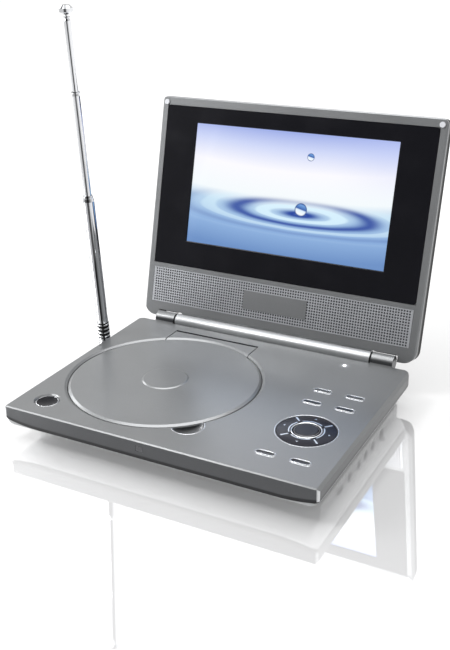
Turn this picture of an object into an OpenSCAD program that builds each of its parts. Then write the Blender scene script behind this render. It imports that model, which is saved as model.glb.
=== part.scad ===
// Portable disc player: a flat base with a round disc door and a keypad, a
// tilting screen lid on a barrel hinge, and a telescopic aerial on the left.
// Millimetres. +X to the right, +Y to the back, +Z up. The origin is the
// centre of the deck's plan, on the surface that the rubber feet stand on.

/* [Base] */
// Width of the deck
deck_w = 216; // [212:1:222]
// Depth of the deck, front to back
deck_d = 160; // [158:1:162]
// Height of the deck's top face above the table
deck_top = 24.8; // [24.6:0.1:26]
// Height of the dark band round the deck, at the middle of the front
slab_h = 11; // [10:0.5:12]
// Width of the narrower lower body
body_w = 200; // [198:1:201]
// Height of the rubber feet below the lower body
foot_h = 1.2; // [1:0.1:1.4]

/* [Disc door] */
// Centre of the disc door, across the deck
door_x = -35; // [-37:0.5:-34]
// Centre of the disc door, front to back
door_y = -2.5; // [-4:0.5:-1]
// Radius of the disc door
door_r = 64; // [63:0.5:65]
// Width of the hinge tab behind the door
tab_w = 66; // [60:1:68]

/* [Keypad] */
// Centre of the keypad, across the deck
keypad_x = 76.5; // [75:0.5:78]
// Half the distance between the two columns of keys
column_dx = 11; // [10:0.5:11.5]
// Length of a pill key
key_l = 12.2; // [11:0.2:12.8]
// Width of a pill key
key_w = 4.2; // [4:0.1:4.6]
// Centre of the navigation ring, front to back
nav_y = -24.5; // [-26:0.5:-23]
// Outer radius of the navigation ring
nav_r = 18.1; // [17.5:0.1:18.5]

/* [Lid] */
// Width of the lid
lid_w = 215; // [211:1:216]
// Height of the lid above the hinge axis
lid_h = 165; // [163:1:166]
// Thickness of the lid
lid_t = 12; // [11.5:0.5:14]
// How far the open lid leans back from upright, in degrees
lid_lean = 14.4; // [0:0.2:40]
// Width of the visible screen
screen_w = 154; // [150:1:156]
// Height of the visible screen
screen_h = 86.6; // [84:0.2:88]

/* [Aerial] */
// How far the aerial leans forward from upright, in degrees
aerial_lean = 4; // [0:0.5:20]
// Outer radius of the lowest tube
tube_1_r = 4.1; // [3.8:0.1:4.4]
// Distance from the pivot to the top of the lowest tube
tube_1_top = 124.5; // [120:0.5:128]
// Distance from the pivot to the top of the middle tube
tube_2_top = 195; // [190:0.5:198]
// Distance from the pivot to the top of the upper tube
tube_3_top = 241.8; // [238:0.2:244]

/* [Hidden] */
$fn = 96;

silver = [0.56, 0.57, 0.59];
bright_silver = [0.76, 0.77, 0.79];
steel = [0.66, 0.66, 0.68];
chrome = [0.85, 0.86, 0.88];
black = [0.06, 0.06, 0.07];
charcoal = [0.17, 0.17, 0.18];
board_green = [0.10, 0.32, 0.16];
white = [0.93, 0.93, 0.95];

wall = 1.8;              // wall of the moulded cases
skin = 2;                // thickness of the deck's top
seam = 0.1;              // gap between the two halves of the base
run_gap = 0.05;          // radial clearance of a running fit
eps = 0.5;               // how far a cut runs past a face

// Levels in the base
floor_z = foot_h;                     // underside of the lower body
floor_top = foot_h + wall;
skin_z = deck_top - skin;             // underside of the deck's top
slab_z = deck_top - slab_h;           // lower edge of the dark band, mid front
corner_rise = 3;                      // how much that edge climbs at the corners
rise_start = 82;                      // half width where the climb starts
flare_z = 9.8;                        // where the lower body's walls start to flare
body_front = -57;
body_back = 77.5;
rim_inset = 0.7;                      // the lower case's rim sits inside the band
side_chamfer = 1.8;
front_chamfer = 0.7;
corner_r_front = 2.5;
corner_r_back = 8;

// Disc door
door_gap = 0.6;
groove_w = 1.8;
groove_h = 0.9;
door_hinge_y = 67.6;
door_hinge_z = skin_z - 0.2;
door_lug_r = 2;
door_lug_l = 5;
door_pin_r = 1;
tab_back = door_hinge_y + 1.4;
door_hub_r = 15.6;
notch_angle = -47;
notch_r = 10;
well_r = 61.5;
well_rim_r = 68;
well_rim_z = deck_top - 4.6;          // top of the well's rim
well_floor_z = deck_top - 8.3;        // top of the well's floor
well_skin = 1.2;

// Open button and latch, on a line from the door's centre to the button
button_x = -87;
button_y = -62;
button_hole_r = 7.8;
button_r = 7.4;
button_top = deck_top - 0.9;
button_bottom = deck_top - 4;
latch_angle = atan2(button_y - door_y, button_x - door_x);
button_reach = norm([button_x - door_x, button_y - door_y]);
latch_w = 5;

// Drive mechanism
plate_z = 9.5;
plate_t = 2;
spindle_x = door_x;
spindle_y = door_y;
disc_rest_z = well_floor_z + 1.3;
rod_z = 9.2;
rod_r = 1.5;
rod_y = [-17.5, 12.5];
screw_y = 21;
screw_r = 1.25;
frame_x0 = -25;
frame_x1 = 51;
sled_x0 = -20;
sled_x1 = 12;
lens_x = spindle_x + 23.5;

// Electronics
board_z = 4.35;
board_t = 1.4;
board_x0 = 40;
board_x1 = 97;
board_y0 = -44;
board_y1 = 64;
jack_z = 8.4;
jack_y = [-11.5, 4, 16.5, 29.5];
jack_bore_r = 1.8;
power_jack_y = 46;
power_jack_bore_r = 2.85;
switch_y = -27;
battery_x = -22;
key_board_z = 17.8;
key_board_t = 1.4;
pad_z = key_board_z + key_board_t;
pad_t = 0.4;

// Keys: [column, y] of each pill key
key_places = [[-1, 27], [1, 27], [-1, 9.6], [1, 9.6], [-1, -58.5], [1, -58.5]];
key_clearance = 0.3;
key_top = deck_top + 0.5;
key_bottom = deck_top - 3.4;
nav_inner_r = 8.6;
centre_r = 7.9;
led_x = 64.4;
led_y = 68;
ir_x = -6.5;
ir_z = deck_top - 5.2;

// Screws that hold the base together: floor screws, then front screws
floor_screws = [[-90, -50], [90, -50], [-90, 70.5], [90, 70.5]];
front_screws = [[-68, -66], [-18, -66], [38, -66]];
screw_shank_r = 1.2;
screw_head_r = 2.6;
boss_r = 3.2;
floor_boss_z = 6;
front_boss_z = 14.4;
front_head_z = 11.8;
feet = [[-88, -38], [88, -38], [-82, 58], [82, 58]];
foot_r = 5;
foot_pocket = 0.5;                    // how deep each foot sits in the floor

// Lid hinge
hinge_y = deck_d / 2 + 5.5;
hinge_z = deck_top + 0.4;
barrel_r = 5.1;
barrel_bore_r = 3.4;
barrel_half = 78;
knuckle_x0 = 78.3;
knuckle_x1 = 93.7;
shaft_r = 2.2;
notch_half = 95;
notch_h = 5.8;

// Lid, in its own frame: x across, y from front to back, z up from the axis
face_y = 0.8;                          // front face, behind the hinge axis
frame_skin = 2.2;
frame_bevel = 1.1;                      // bevel round the frame's front edges
frame_back_y = face_y + 4.8;
back_bevel = 3;                        // how far the back's edges turn in
lid_back_y = face_y + lid_t;
lid_wall = 1.5;
lid_z0 = 1;                            // lower edge of the lid's corners
lid_corner_low = 9;
lid_corner_high = 5;
bezel_w = 205;
bezel_h = 117;
bezel_z = 41.6;
bezel_t = 1.1;
screen_z = 60.6;
grille_w = 203.6;
grille_z = 11.8;
grille_h = 26.4;
grille_t = 0.6;
speaker_x = 68;
speaker_z = grille_z + grille_h / 2;
bumper_x = 103.6;
bumper_z = 160.6;
bumper_r = 1.9;

// Aerial, in its own frame: z along the tubes from the pivot
aerial_x = -113;
aerial_y = 41;
aerial_z = 7.8;
swivel_r = 3.2;
collar_r = 4.3;
cheek_r = 4.6;
cheek_in = 2.3;
cheek_out = 4.3;
pin_r = 1.2;
tube_2_r = 2.65;
tube_3_r = 2.15;
rod_tip_r = 1;
tube_1_foot = 6;
tube_1_bore = 12;
shoulder_h = 4;
knob_r = 4.4;
knob_z = tube_3_top + 2.4;

// A rectangle with one corner radius at the front and another at the back
module outline(w, d, r_front, r_back) {
    translate([-w / 2 + r_front, -d / 2]) square([w - 2 * r_front, d / 2]);
    translate([-w / 2, -d / 2 + r_front]) square([w, d / 2 - r_front]);
    translate([-w / 2 + r_back, 0]) square([w - 2 * r_back, d / 2]);
    translate([-w / 2, 0]) square([w, d / 2 - r_back]);
    for (side = [-1, 1]) {
        translate([side * (w / 2 - r_front), -d / 2 + r_front]) circle(r_front);
        translate([side * (w / 2 - r_back), d / 2 - r_back]) circle(r_back);
    }
}

// A rounded bar, length along X
module stadium(length, width) {
    square([length - width, width], center = true);
    for (side = [-1, 1])
        translate([side * (length - width) / 2, 0]) circle(width / 2);
}

// A box between two corners
module block(low, high) {
    translate(low) cube(high - low);
}

// Extrudes a profile drawn as (y, z) along X
module along_x(length) {
    rotate([90, 0, 90]) linear_extrude(length, center = true) children();
}

// Extrudes a profile drawn as (x, z) along Y
module along_y(length) {
    rotate([90, 0, 0]) linear_extrude(length, center = true) children();
}

// A round bar along X from x0 to x1
module bar_x(x0, x1, r) {
    translate([x0, 0, 0]) rotate([0, 90, 0]) cylinder(h = x1 - x0, r = r);
}

// A round bar along Y from y0 to y1
module bar_y(y0, y1, r) {
    translate([0, y0, 0]) rotate([-90, 0, 0]) cylinder(h = y1 - y0, r = r);
}

// The lower edge of the dark band, which climbs towards the sides
function split_z(x) =
    slab_z + corner_rise * pow(max(0, abs(x) - rise_start) / (deck_w / 2 - rise_start), 2);
split_steps = 6;
split_right = [for (i = [0:split_steps])
    let (x = rise_start + i * (deck_w / 2 - rise_start) / split_steps) [x, split_z(x)]];
split_left = [for (i = [split_steps:-1:0]) [-split_right[i][0], split_right[i][1]]];

// ---- Base: cases -------------------------------------------------------

// The deck's outer block, with bevelled edges and the climbing lower edge
module deck_block() {
    half_w = deck_w / 2;
    half_d = deck_d / 2;
    intersection() {
        linear_extrude(deck_top) outline(deck_w, deck_d, corner_r_front, corner_r_back);
        along_y(deck_d + 2)
            polygon(concat(split_left, split_right,
                [[half_w, deck_top - side_chamfer], [half_w - side_chamfer, deck_top],
                 [-half_w + side_chamfer, deck_top], [-half_w, deck_top - side_chamfer]]));
        along_x(deck_w + 2)
            polygon([[-half_d, 0], [half_d, 0], [half_d, deck_top - front_chamfer],
                [half_d - front_chamfer, deck_top], [-half_d + front_chamfer, deck_top],
                [-half_d, deck_top - front_chamfer]]);
    }
}

// The V-shaped groove round the disc door, cut half in the door, half in the deck
module door_groove() {
    outer = door_r + door_gap;
    translate([door_x, door_y, deck_top])
        rotate_extrude()
            polygon([[door_r - groove_w, 0], [door_r, -groove_h], [outer, -groove_h],
                [outer + groove_w, 0], [outer + groove_w, eps], [door_r - groove_w, eps]]);
}

// The knuckle that carries one end of the lid's shaft
module knuckle() {
    translate([0, hinge_y, hinge_z]) bar_x(knuckle_x0, knuckle_x1, barrel_r);
    translate([(knuckle_x0 + knuckle_x1) / 2, 0, 0])
        along_x(knuckle_x1 - knuckle_x0)
            polygon([[hinge_y - 7.5, slab_z + 4.5], [hinge_y, slab_z + 5.5],
                [hinge_y + 3.6, hinge_z - 3.6], [hinge_y, hinge_z], [hinge_y - 7.5, deck_top]]);
}

// Ears under the deck that hold the door's pins
module door_ears() {
    for (side = [-1, 1])
        translate([door_x + side * (tab_w / 2 + door_gap + 2.4), door_hinge_y, skin_z - 1.9])
            cube([4.8, 6, 4.2], center = true);
}

// Posts under the deck that press on the disc well's rim and on the keypad
module deck_posts() {
    for (turn = [5, 40, 140, 185, 262])
        translate([door_x, door_y, well_rim_z]) rotate([0, 0, turn]) translate([door_r + 2.7, 0, 0])
            cylinder(h = skin_z - well_rim_z + eps, r = 1.2);
    for (x = [57, 97], y = [-64, 33])
        translate([x, y, pad_z + pad_t]) cylinder(h = skin_z - pad_z - pad_t + eps, r = 1.6);
}

module deck_cover() color(silver) {
    difference() {
        union() {
            difference() {
                deck_block();
                translate([0, 0, -eps])
                    linear_extrude(skin_z + eps)
                        outline(deck_w - 4, deck_d - 4, 1, corner_r_back - skin);
            }
            for (side = [0, 1]) mirror([side, 0, 0]) knuckle();
            door_ears();
            for (place = floor_screws)
                translate([place[0], place[1], floor_boss_z])
                    cylinder(h = skin_z - floor_boss_z + eps, r = boss_r);
            for (place = [front_screws[0], front_screws[2]])
                translate([place[0], place[1], front_boss_z])
                    cylinder(h = skin_z - front_boss_z + eps, r = 3);
            deck_posts();
        }
        door_groove();
        translate([door_x, door_y, skin_z - eps]) cylinder(h = skin + 2 * eps, r = door_r + door_gap);
        block([door_x - tab_w / 2 - door_gap, door_y, skin_z - eps],
            [door_x + tab_w / 2 + door_gap, tab_back + 1, deck_top + eps]);
        translate([door_x, door_y, skin_z - eps])
            rotate([0, 0, notch_angle]) translate([door_r + 2, 0, 0])
                cylinder(h = skin + 2 * eps, r = notch_r);
        translate([0, door_hinge_y, door_hinge_z])
            bar_x(door_x - tab_w / 2 - 5, door_x + tab_w / 2 + 5, door_pin_r);
        translate([button_x, button_y, skin_z - eps]) cylinder(h = skin + 2 * eps, r = button_hole_r);
        translate([button_x, button_y, deck_top - 0.8])
            cylinder(h = 0.81, r1 = button_hole_r, r2 = button_hole_r + 0.8);
        for (place = key_places)
            translate([keypad_x + place[0] * column_dx, place[1], skin_z - eps])
                linear_extrude(skin + 2 * eps)
                    stadium(key_l + 2 * key_clearance, key_w + 2 * key_clearance);
        translate([keypad_x, nav_y, skin_z - eps]) cylinder(h = skin + 2 * eps, r = nav_r + 0.5);
        translate([led_x, led_y, skin_z - eps]) cylinder(h = skin + 2 * eps, r = 1.15);
        translate([ir_x, -deck_d / 2, ir_z]) cube([5.2, 5, 4.2], center = true);
        for (side = [0, 1])
            mirror([side, 0, 0])
                translate([0, hinge_y, hinge_z])
                    bar_x(knuckle_x0 - eps, knuckle_x1 - 1.6, shaft_r + run_gap);
        for (place = floor_screws)
            translate([place[0], place[1], floor_boss_z - eps]) cylinder(h = 10, r = screw_shank_r);
        for (place = [front_screws[0], front_screws[2]])
            translate([place[0], place[1], front_boss_z - eps]) cylinder(h = 6.5, r = screw_shank_r);
    }
}

// The lower case's outer block: straight walls that flare out to the deck's rim
module body_block() {
    half_b = body_w / 2;
    half_r = deck_w / 2 - rim_inset;
    rim_f = -deck_d / 2 + rim_inset;
    rim_b = deck_d / 2 - rim_inset;
    intersection() {
        linear_extrude(slab_z + corner_rise)
            outline(2 * half_r, 2 * rim_b, corner_r_front, corner_r_back);
        along_y(deck_d + 2)
            polygon([[-half_b, floor_z], [half_b, floor_z], [half_b, flare_z + 1.2],
                [half_r, split_z(half_r) - 1.6], [half_r, slab_z + 6],
                [-half_r, slab_z + 6], [-half_r, split_z(half_r) - 1.6], [-half_b, flare_z + 1.2]]);
        along_x(deck_w + 2)
            polygon([[body_front, floor_z], [body_back, floor_z], [body_back, flare_z + 1.2],
                [rim_b, slab_z - 1], [rim_b, slab_z + 6], [rim_f, slab_z + 6],
                [rim_f, slab_z - 1.5], [body_front, flare_z]]);
        translate([0, 0, -seam])
            along_y(deck_d + 2)
                polygon(concat(split_right, [[deck_w / 2, 0], [-deck_w / 2, 0]], split_left));
    }
}

module bottom_case() color(silver) {
    half_in = body_w / 2 - wall;
    difference() {
        union() {
            body_block();
            for (place = floor_screws)
                translate([place[0], place[1], floor_z])
                    cylinder(h = floor_boss_z - 0.2 - floor_z, r = boss_r + 1.4);
        }
        difference() {
            block([-half_in, body_front + wall, floor_top], [half_in, body_back - wall, slab_z + 6]);
            for (place = floor_screws)
                translate([place[0], place[1], 0]) cylinder(h = floor_boss_z - 0.2, r = boss_r + 1.4);
        }
        // hollow above the sloping front and side flares
        along_x(2 * half_in)
            polygon([[body_front + wall + 0.01, flare_z + 2], [-deck_d / 2 + 2.6, slab_z + 0.4],
                [-deck_d / 2 + 2.6, slab_z + 6], [body_front + wall + 0.01, slab_z + 6]]);
        for (place = floor_screws) {
            translate([place[0], place[1], 0]) cylinder(h = floor_top + 8, r = screw_shank_r + 0.2);
            translate([place[0], place[1], 0]) cylinder(h = floor_z + 1.8, r = screw_head_r + 0.2);
        }
        for (place = front_screws) {
            translate([place[0], place[1], 0]) cylinder(h = 20, r = screw_shank_r + 0.2);
            translate([place[0], place[1], 0]) cylinder(h = front_head_z, r = screw_head_r + 0.2);
        }
        for (y = jack_y)
            translate([0, y, jack_z]) bar_x(half_in - eps, body_w / 2 + 3, 3.15);
        translate([0, power_jack_y, jack_z]) bar_x(half_in - eps, body_w / 2 + 3, 4.15);
        translate([body_w / 2 - wall / 2, switch_y, jack_z])
            rotate([90, 0, 90]) linear_extrude(wall + 1, center = true) stadium(9.6, 3.4);
        translate([0, aerial_y, aerial_z]) bar_x(-body_w / 2 - 3, -half_in + eps, 4.6);
        for (place = feet)
            translate([place[0], place[1], 0]) cylinder(h = floor_z + foot_pocket, r = foot_r + 0.1);
        // long finger recess under the front edge
        translate([-4, -deck_d / 2 + 5.2, slab_z - 1.9])
            rotate([-7, 0, 0]) translate([0, 0, -3]) linear_extrude(3) stadium(56, 7);
        // cooling slots under the main board
        for (i = [-3:3])
            translate([68, 8 + i * 5, floor_z - eps]) linear_extrude(wall + 1) stadium(34, 1.8);
    }
    // posts under the main board
    for (x = [board_x0 + 8, board_x1 - 8], y = [board_y0 + 8, board_y1 - 6])
        translate([x, y, floor_top - 0.01]) cylinder(h = board_z - floor_top + 0.01, r = 2.4);
}

module rubber_feet() color(black) {
    for (place = feet)
        translate([place[0], place[1], 0]) {
            cylinder(h = 0.5, r1 = foot_r - 0.5, r2 = foot_r);
            translate([0, 0, 0.5]) cylinder(h = foot_h + foot_pocket - 0.55, r = foot_r);
        }
}

// One case screw, head down, with a slot across the head
module case_screw(shank) {
    difference() {
        union() {
            cylinder(h = 1.5, r = screw_head_r);
            cylinder(h = 1.5 + shank, r = screw_shank_r);
        }
        translate([0, 0, 0.3]) cube([3.2, 0.7, 0.9], center = true);
        translate([0, 0, 0.3]) cube([0.7, 3.2, 0.9], center = true);
    }
}

module case_screws() color(steel) {
    for (place = floor_screws) translate([place[0], place[1], floor_z + 0.3]) case_screw(12);
    for (place = front_screws) translate([place[0], place[1], front_head_z - 1.5]) case_screw(6.5);
}

// ---- Disc door and latch -------------------------------------------------

module disc_door() color(silver) {
    difference() {
        union() {
            translate([door_x, door_y, skin_z]) cylinder(h = skin, r = door_r);
            block([door_x - tab_w / 2, door_y, skin_z],
                [door_x + tab_w / 2, door_hinge_y, deck_top]);
            translate([door_x, tab_back - 1.4, deck_top - 1.4])
                rotate([0, 90, 0]) cylinder(h = tab_w, r = 1.4, center = true);
            translate([0, door_hinge_y, door_hinge_z])
                for (side = [-1, 1])
                    bar_x(door_x + side * (tab_w / 2 - door_lug_l / 2) - door_lug_l / 2,
                        door_x + side * (tab_w / 2 - door_lug_l / 2) + door_lug_l / 2, door_lug_r);
            // stiffening ring under the door
            translate([door_x, door_y, skin_z - 0.7])
                difference() {
                    cylinder(h = 1, r = 56);
                    translate([0, 0, -eps]) cylinder(h = 2, r = 54.6);
                }
            // raised cap over the hub
            translate([door_x, door_y, deck_top - 0.01])
                cylinder(h = 0.51, r1 = door_hub_r, r2 = door_hub_r - 1.1);
            // catch that the latch holds
            translate([door_x, door_y, 0]) rotate([0, 0, latch_angle])
                block([well_r + 0.4, -2.2, skin_z - 2.2], [well_r + 1.9, 2.2, skin_z + 0.5]);
        }
        door_groove();
        translate([0, door_hinge_y, door_hinge_z])
            bar_x(door_x - tab_w / 2 - 1, door_x - tab_w / 2 + door_lug_l - 1, door_pin_r + run_gap);
        translate([0, door_hinge_y, door_hinge_z])
            bar_x(door_x + tab_w / 2 - door_lug_l + 1, door_x + tab_w / 2 + 1, door_pin_r + run_gap);
        // shallow dish under the cap, clear of the spindle
        translate([door_x, door_y, skin_z - 1]) cylinder(h = 1.6, r = 11);
    }
}

module door_hinge_pins() color(steel) {
    translate([0, door_hinge_y, door_hinge_z]) {
        bar_x(door_x - tab_w / 2 - 4.6, door_x - tab_w / 2 + 3.6, door_pin_r);
        bar_x(door_x + tab_w / 2 - 3.6, door_x + tab_w / 2 + 4.6, door_pin_r);
    }
}

module open_button() color(charcoal) {
    difference() {
        union() {
            translate([button_x, button_y, button_bottom])
                cylinder(h = button_top - button_bottom, r = button_r);
            translate([button_x, button_y, button_bottom]) cylinder(h = 0.9, r = button_r + 0.9);
        }
        translate([button_x, button_y, button_top + 24.1]) sphere(25);
    }
}

module door_latch() color(charcoal) {
    translate([door_x, door_y, 0])
        rotate([0, 0, latch_angle]) {
            block([well_r + 2.2, -latch_w / 2, skin_z - 1.9], [well_rim_r + 1.1, latch_w / 2, skin_z - 0.6]);
            block([well_rim_r + 0.2, -latch_w / 2, skin_z - 5.3], [well_rim_r + 1.1, latch_w / 2, skin_z - 0.7]);
            block([well_rim_r + 0.2, -latch_w / 2, skin_z - 5.3], [button_reach + 2, latch_w / 2, skin_z - 3.9]);
        }
}

// ---- Disc drive ------------------------------------------------------------

module disc_well() color(charcoal) {
    difference() {
        union() {
            translate([door_x, door_y, well_rim_z - well_skin]) cylinder(h = well_skin, r = well_rim_r);
            translate([door_x, door_y, well_floor_z - well_skin])
                cylinder(h = well_rim_z - well_floor_z, r = well_r + well_skin);
            translate([door_x, door_y, well_rim_z - well_skin])
                rotate([0, 0, notch_angle]) translate([door_r + 2, 0, 0])
                    cylinder(h = well_skin, r = notch_r + 1);
            translate([front_screws[1][0], front_screws[1][1], front_boss_z])
                cylinder(h = well_rim_z - front_boss_z, r = 3);
        }
        translate([door_x, door_y, well_floor_z]) cylinder(h = 10, r = well_r);
        translate([door_x, door_y, 0]) cylinder(h = 30, r = 14);
        block([door_x, door_y - 11, 10], [door_x + 62, door_y + 11, well_floor_z + 0.2]);
        translate([front_screws[1][0], front_screws[1][1], 10])
            cylinder(h = well_rim_z - 11.2, r = screw_shank_r);
        translate([door_x, door_y, 0]) rotate([0, 0, latch_angle])
            block([well_r - 1, -2.8, skin_z - 2.9], [well_r + 2.6, 2.8, skin_z]);
    }
}

module traverse_chassis() color(steel) {
    x0 = spindle_x - 27;
    x1 = frame_x1 + 2;
    difference() {
        union() {
            translate([(x0 + x1) / 2, 0, plate_z]) linear_extrude(plate_t) outline(x1 - x0, 64, 3, 3);
            block([frame_x0, -24, rod_z - 2.2], [frame_x0 + 4, 25, plate_z + 0.5]);
            block([frame_x1 - 4, -24, rod_z - 2.2], [frame_x1, 25, plate_z + 0.5]);
        }
        block([frame_x0 + 4, -22, 5], [frame_x1 - 4, 25.5, 20]);
        block([frame_x0 - 14, screw_y - 5.6, 5], [frame_x0, screw_y + 5.6, 20]);
        for (y = rod_y) translate([0, y, rod_z]) bar_x(frame_x0 - 1, frame_x1 + 1, rod_r);
        translate([0, screw_y, rod_z]) bar_x(frame_x0 - 1, frame_x1 + 1, screw_r + run_gap);
        translate([spindle_x, spindle_y, 5]) cylinder(h = 10, r = 2.6);
    }
}

module chassis_bushes() color(black) {
    for (x = [spindle_x - 21, spindle_x + 46], y = [-28, 28])
        translate([x, y, plate_z + plate_t])
            cylinder(h = well_floor_z - well_skin - plate_z - plate_t, r = 3.6);
}

module spindle_motor() color(steel) {
    translate([spindle_x, spindle_y, plate_z + plate_t])
        difference() {
            union() {
                cylinder(h = 0.8, r = 13);
                cylinder(h = 3.4, r = 11);
                translate([0, 0, -3.4]) cylinder(h = 3.5, r = 2.6 - 0.02);
            }
            translate([0, 0, -5]) cylinder(h = 12, r = 0.9 + run_gap);
        }
}

module spindle_hub() color(charcoal) {
    translate([spindle_x, spindle_y, 0]) {
        translate([0, 0, plate_z - 1]) cylinder(h = disc_rest_z - plate_z + 1.5, r = 0.9);
        translate([0, 0, disc_rest_z - 1.6]) cylinder(h = 1.6, r = 12.6);
        translate([0, 0, disc_rest_z - 0.01]) cylinder(h = 1.6, r = 7.3);
        translate([0, 0, disc_rest_z + 1.58]) cylinder(h = 1.2, r1 = 7.3, r2 = 5.6);
        for (turn = [0, 120, 240])
            rotate([0, 0, turn]) translate([6.6, 0, disc_rest_z + 1.2]) sphere(0.95);
    }
}

module pickup_sled() color(charcoal) {
    difference() {
        union() {
            block([sled_x0, -20.5, rod_z - 2.1], [sled_x1, 15.5, rod_z + 2.1]);
            block([lens_x - 8, -14, rod_z], [lens_x + 9, 9, rod_z + 4.6]);
            block([sled_x0 + 4, 15, rod_z - 2], [sled_x0 + 14, screw_y + 3, rod_z + 2]);
        }
        for (y = rod_y) translate([0, y, rod_z]) bar_x(sled_x0 - 1, sled_x1 + 1, rod_r + run_gap);
        translate([0, screw_y, rod_z]) bar_x(sled_x0, sled_x0 + 20, screw_r + run_gap);
    }
}

module objective_lens() color([0.35, 0.38, 0.6]) {
    translate([lens_x, spindle_y, rod_z + 4.6]) {
        cylinder(h = 1.6, r = 4.4);
        translate([0, 0, 1.59]) cylinder(h = 0.5, r1 = 3, r2 = 2.2);
    }
}

module guide_rods() color(chrome) {
    for (y = rod_y) translate([0, y, rod_z]) bar_x(frame_x0 + 0.5, frame_x1 - 0.5, rod_r);
}

module sled_motor() color(steel) {
    translate([0, screw_y, rod_z])
        difference() {
            union() {
                bar_x(frame_x0 - 13, frame_x0 - 0.2, 5);
                bar_x(frame_x0 - 13.6, frame_x0 - 12.9, 2);
            }
            bar_x(frame_x0 - 5, frame_x0 + 1, screw_r + run_gap);
        }
}

module lead_screw() color(chrome) {
    translate([0, screw_y, rod_z]) bar_x(frame_x0 - 4.6, frame_x1 - 0.5, screw_r);
}

// ---- Electronics -----------------------------------------------------------

module main_board() color(board_green) {
    block([board_x0, board_y0, board_z], [board_x1, board_y1, board_z + board_t]);
}

module board_components() color(black) {
    top = board_z + board_t;
    block([55, -8, top], [77, 14, top + 1.8]);
    block([55, -34, top], [66, -16, top + 1.2]);
    block([70, -34, top], [81, -16, top + 1.2]);
    block([47, 34, top], [67, 60, top + 6.5]);
    block([88, switch_y - 6, top], [97.6, switch_y + 6, top + 0.8]);
    for (y = [24, 36, 48]) translate([76, y, top]) cylinder(h = 6, r = 3);
}

// One 3.5 mm socket, its bore open to the right
module side_jack(body_l, nose_r, bore_r) {
    x_wall = body_w / 2;
    difference() {
        union() {
            block([x_wall - body_l - 2, -4.6, board_z + board_t - jack_z], [x_wall - wall - 0.2, 4.6, 3.2]);
            bar_x(x_wall - wall - 0.3, x_wall, nose_r);
        }
        bar_x(x_wall - body_l, x_wall + 1, bore_r);
    }
}

module side_jacks() color(black) {
    for (y = jack_y) translate([0, y, jack_z]) side_jack(12, 3, jack_bore_r);
    translate([0, power_jack_y, jack_z]) side_jack(12, 4, power_jack_bore_r);
}

module power_switch() color(black) {
    translate([body_w / 2, switch_y - 1.5, jack_z]) {
        rotate([90, 0, 90]) translate([0, 0, -3.4]) linear_extrude(4.4) stadium(5, 2.8);
        block([-3.6, -2.4, -1.7], [-wall - 0.3, 2.4, 2.4]);
    }
}

module battery_pack() color([0.20, 0.32, 0.55]) {
    for (i = [0:2])
        translate([battery_x + (i - 1) * 41, 55, 8]) rotate([90, 0, 0])
            linear_extrude(38, center = true) stadium(40.4, 8.6);
    block([battery_x - 43, 35, 8], [battery_x + 43, 37.5, 12.6]);
}

module key_board() color(board_green) {
    difference() {
        block([53, -69, key_board_z], [101, 38, key_board_z + key_board_t]);
        translate([90, -50, key_board_z - 1]) cylinder(h = 4, r = boss_r + 0.4);
    }
}

module rubber_keypad() color([0.35, 0.36, 0.38]) {
    difference() {
        block([55, -67, pad_z], [99, 36, pad_z + pad_t]);
        translate([90, -50, pad_z - 1]) cylinder(h = 4, r = boss_r + 0.4);
    }
    for (place = key_places)
        translate([keypad_x + place[0] * column_dx, place[1], pad_z + pad_t - 0.01])
            cylinder(h = 0.81, r1 = 2.4, r2 = 1.8);
    translate([keypad_x, nav_y, pad_z + pad_t - 0.01]) cylinder(h = 0.51, r1 = 4, r2 = 3.4);
}

// ---- Keys --------------------------------------------------------------------

module pill_key(index) color(bright_silver) {
    place = key_places[index];
    translate([keypad_x + place[0] * column_dx, place[1], key_bottom]) {
        linear_extrude(key_top - key_bottom) stadium(key_l, key_w);
        linear_extrude(0.8) stadium(key_l + 1.8, key_w + 1.8);
    }
}

// The ring under the navigation ring: it rocks front to back, the ring side to side
module nav_gimbal() color(charcoal) {
    translate([keypad_x, nav_y, key_board_z + 2.8]) {
        difference() {
            union() {
                cylinder(h = 0.7, r = 11);
                block([-2, -16, 0], [2, 16, 0.7]);
            }
            translate([0, 0, -eps]) cylinder(h = 2, r = nav_inner_r + 0.4);
        }
        for (side = [-1, 1]) {
            translate([0, side * 14, 0.6]) bar_y(-1.8, 1.8, 0.5);
            translate([side * 11.5, 0, 0.6]) bar_x(-1.2, 1.2, 0.5);
        }
    }
}

module nav_ring() color(black) {
    difference() {
        translate([keypad_x, nav_y, deck_top - 2.7]) {
            cylinder(h = 2.7, r = nav_r);
            translate([0, 0, 2.69]) cylinder(h = 0.31, r1 = nav_r, r2 = nav_r - 1.2);
        }
        translate([keypad_x, nav_y, 10]) cylinder(h = 30, r = nav_inner_r);
        // shallow gutter between the four direction marks
        for (turn = [45, 135, 225, 315])
            translate([keypad_x, nav_y, deck_top + 0.05])
                rotate([0, 0, turn]) translate([13, 0, 0]) linear_extrude(2) square([6, 1], center = true);
        translate([keypad_x, nav_y, deck_top - 0.6])
            cylinder(h = 1.2, r1 = nav_inner_r, r2 = nav_inner_r + 1.4);
    }
}

module centre_button() color(black) {
    translate([keypad_x, nav_y, deck_top - 3.8]) {
        cylinder(h = 4, r = centre_r);
        translate([0, 0, 3.99]) cylinder(h = 0.5, r1 = centre_r, r2 = centre_r - 1.2);
    }
}

module light_pipe() color(white) {
    translate([led_x, led_y, deck_top - 4.8]) {
        cylinder(h = 5.1, r = 1.05);
        cylinder(h = 2.6, r = 2);
    }
}

module ir_window() color(black) {
    translate([ir_x, -deck_d / 2 + 1.15, ir_z]) cube([5, 2.1, 4], center = true);
}

// ---- Lid ---------------------------------------------------------------------

// Places a shape drawn in the lid's own frame
module in_lid() {
    translate([0, hinge_y, hinge_z]) rotate([-lid_lean, 0, 0]) children();
}

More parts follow.
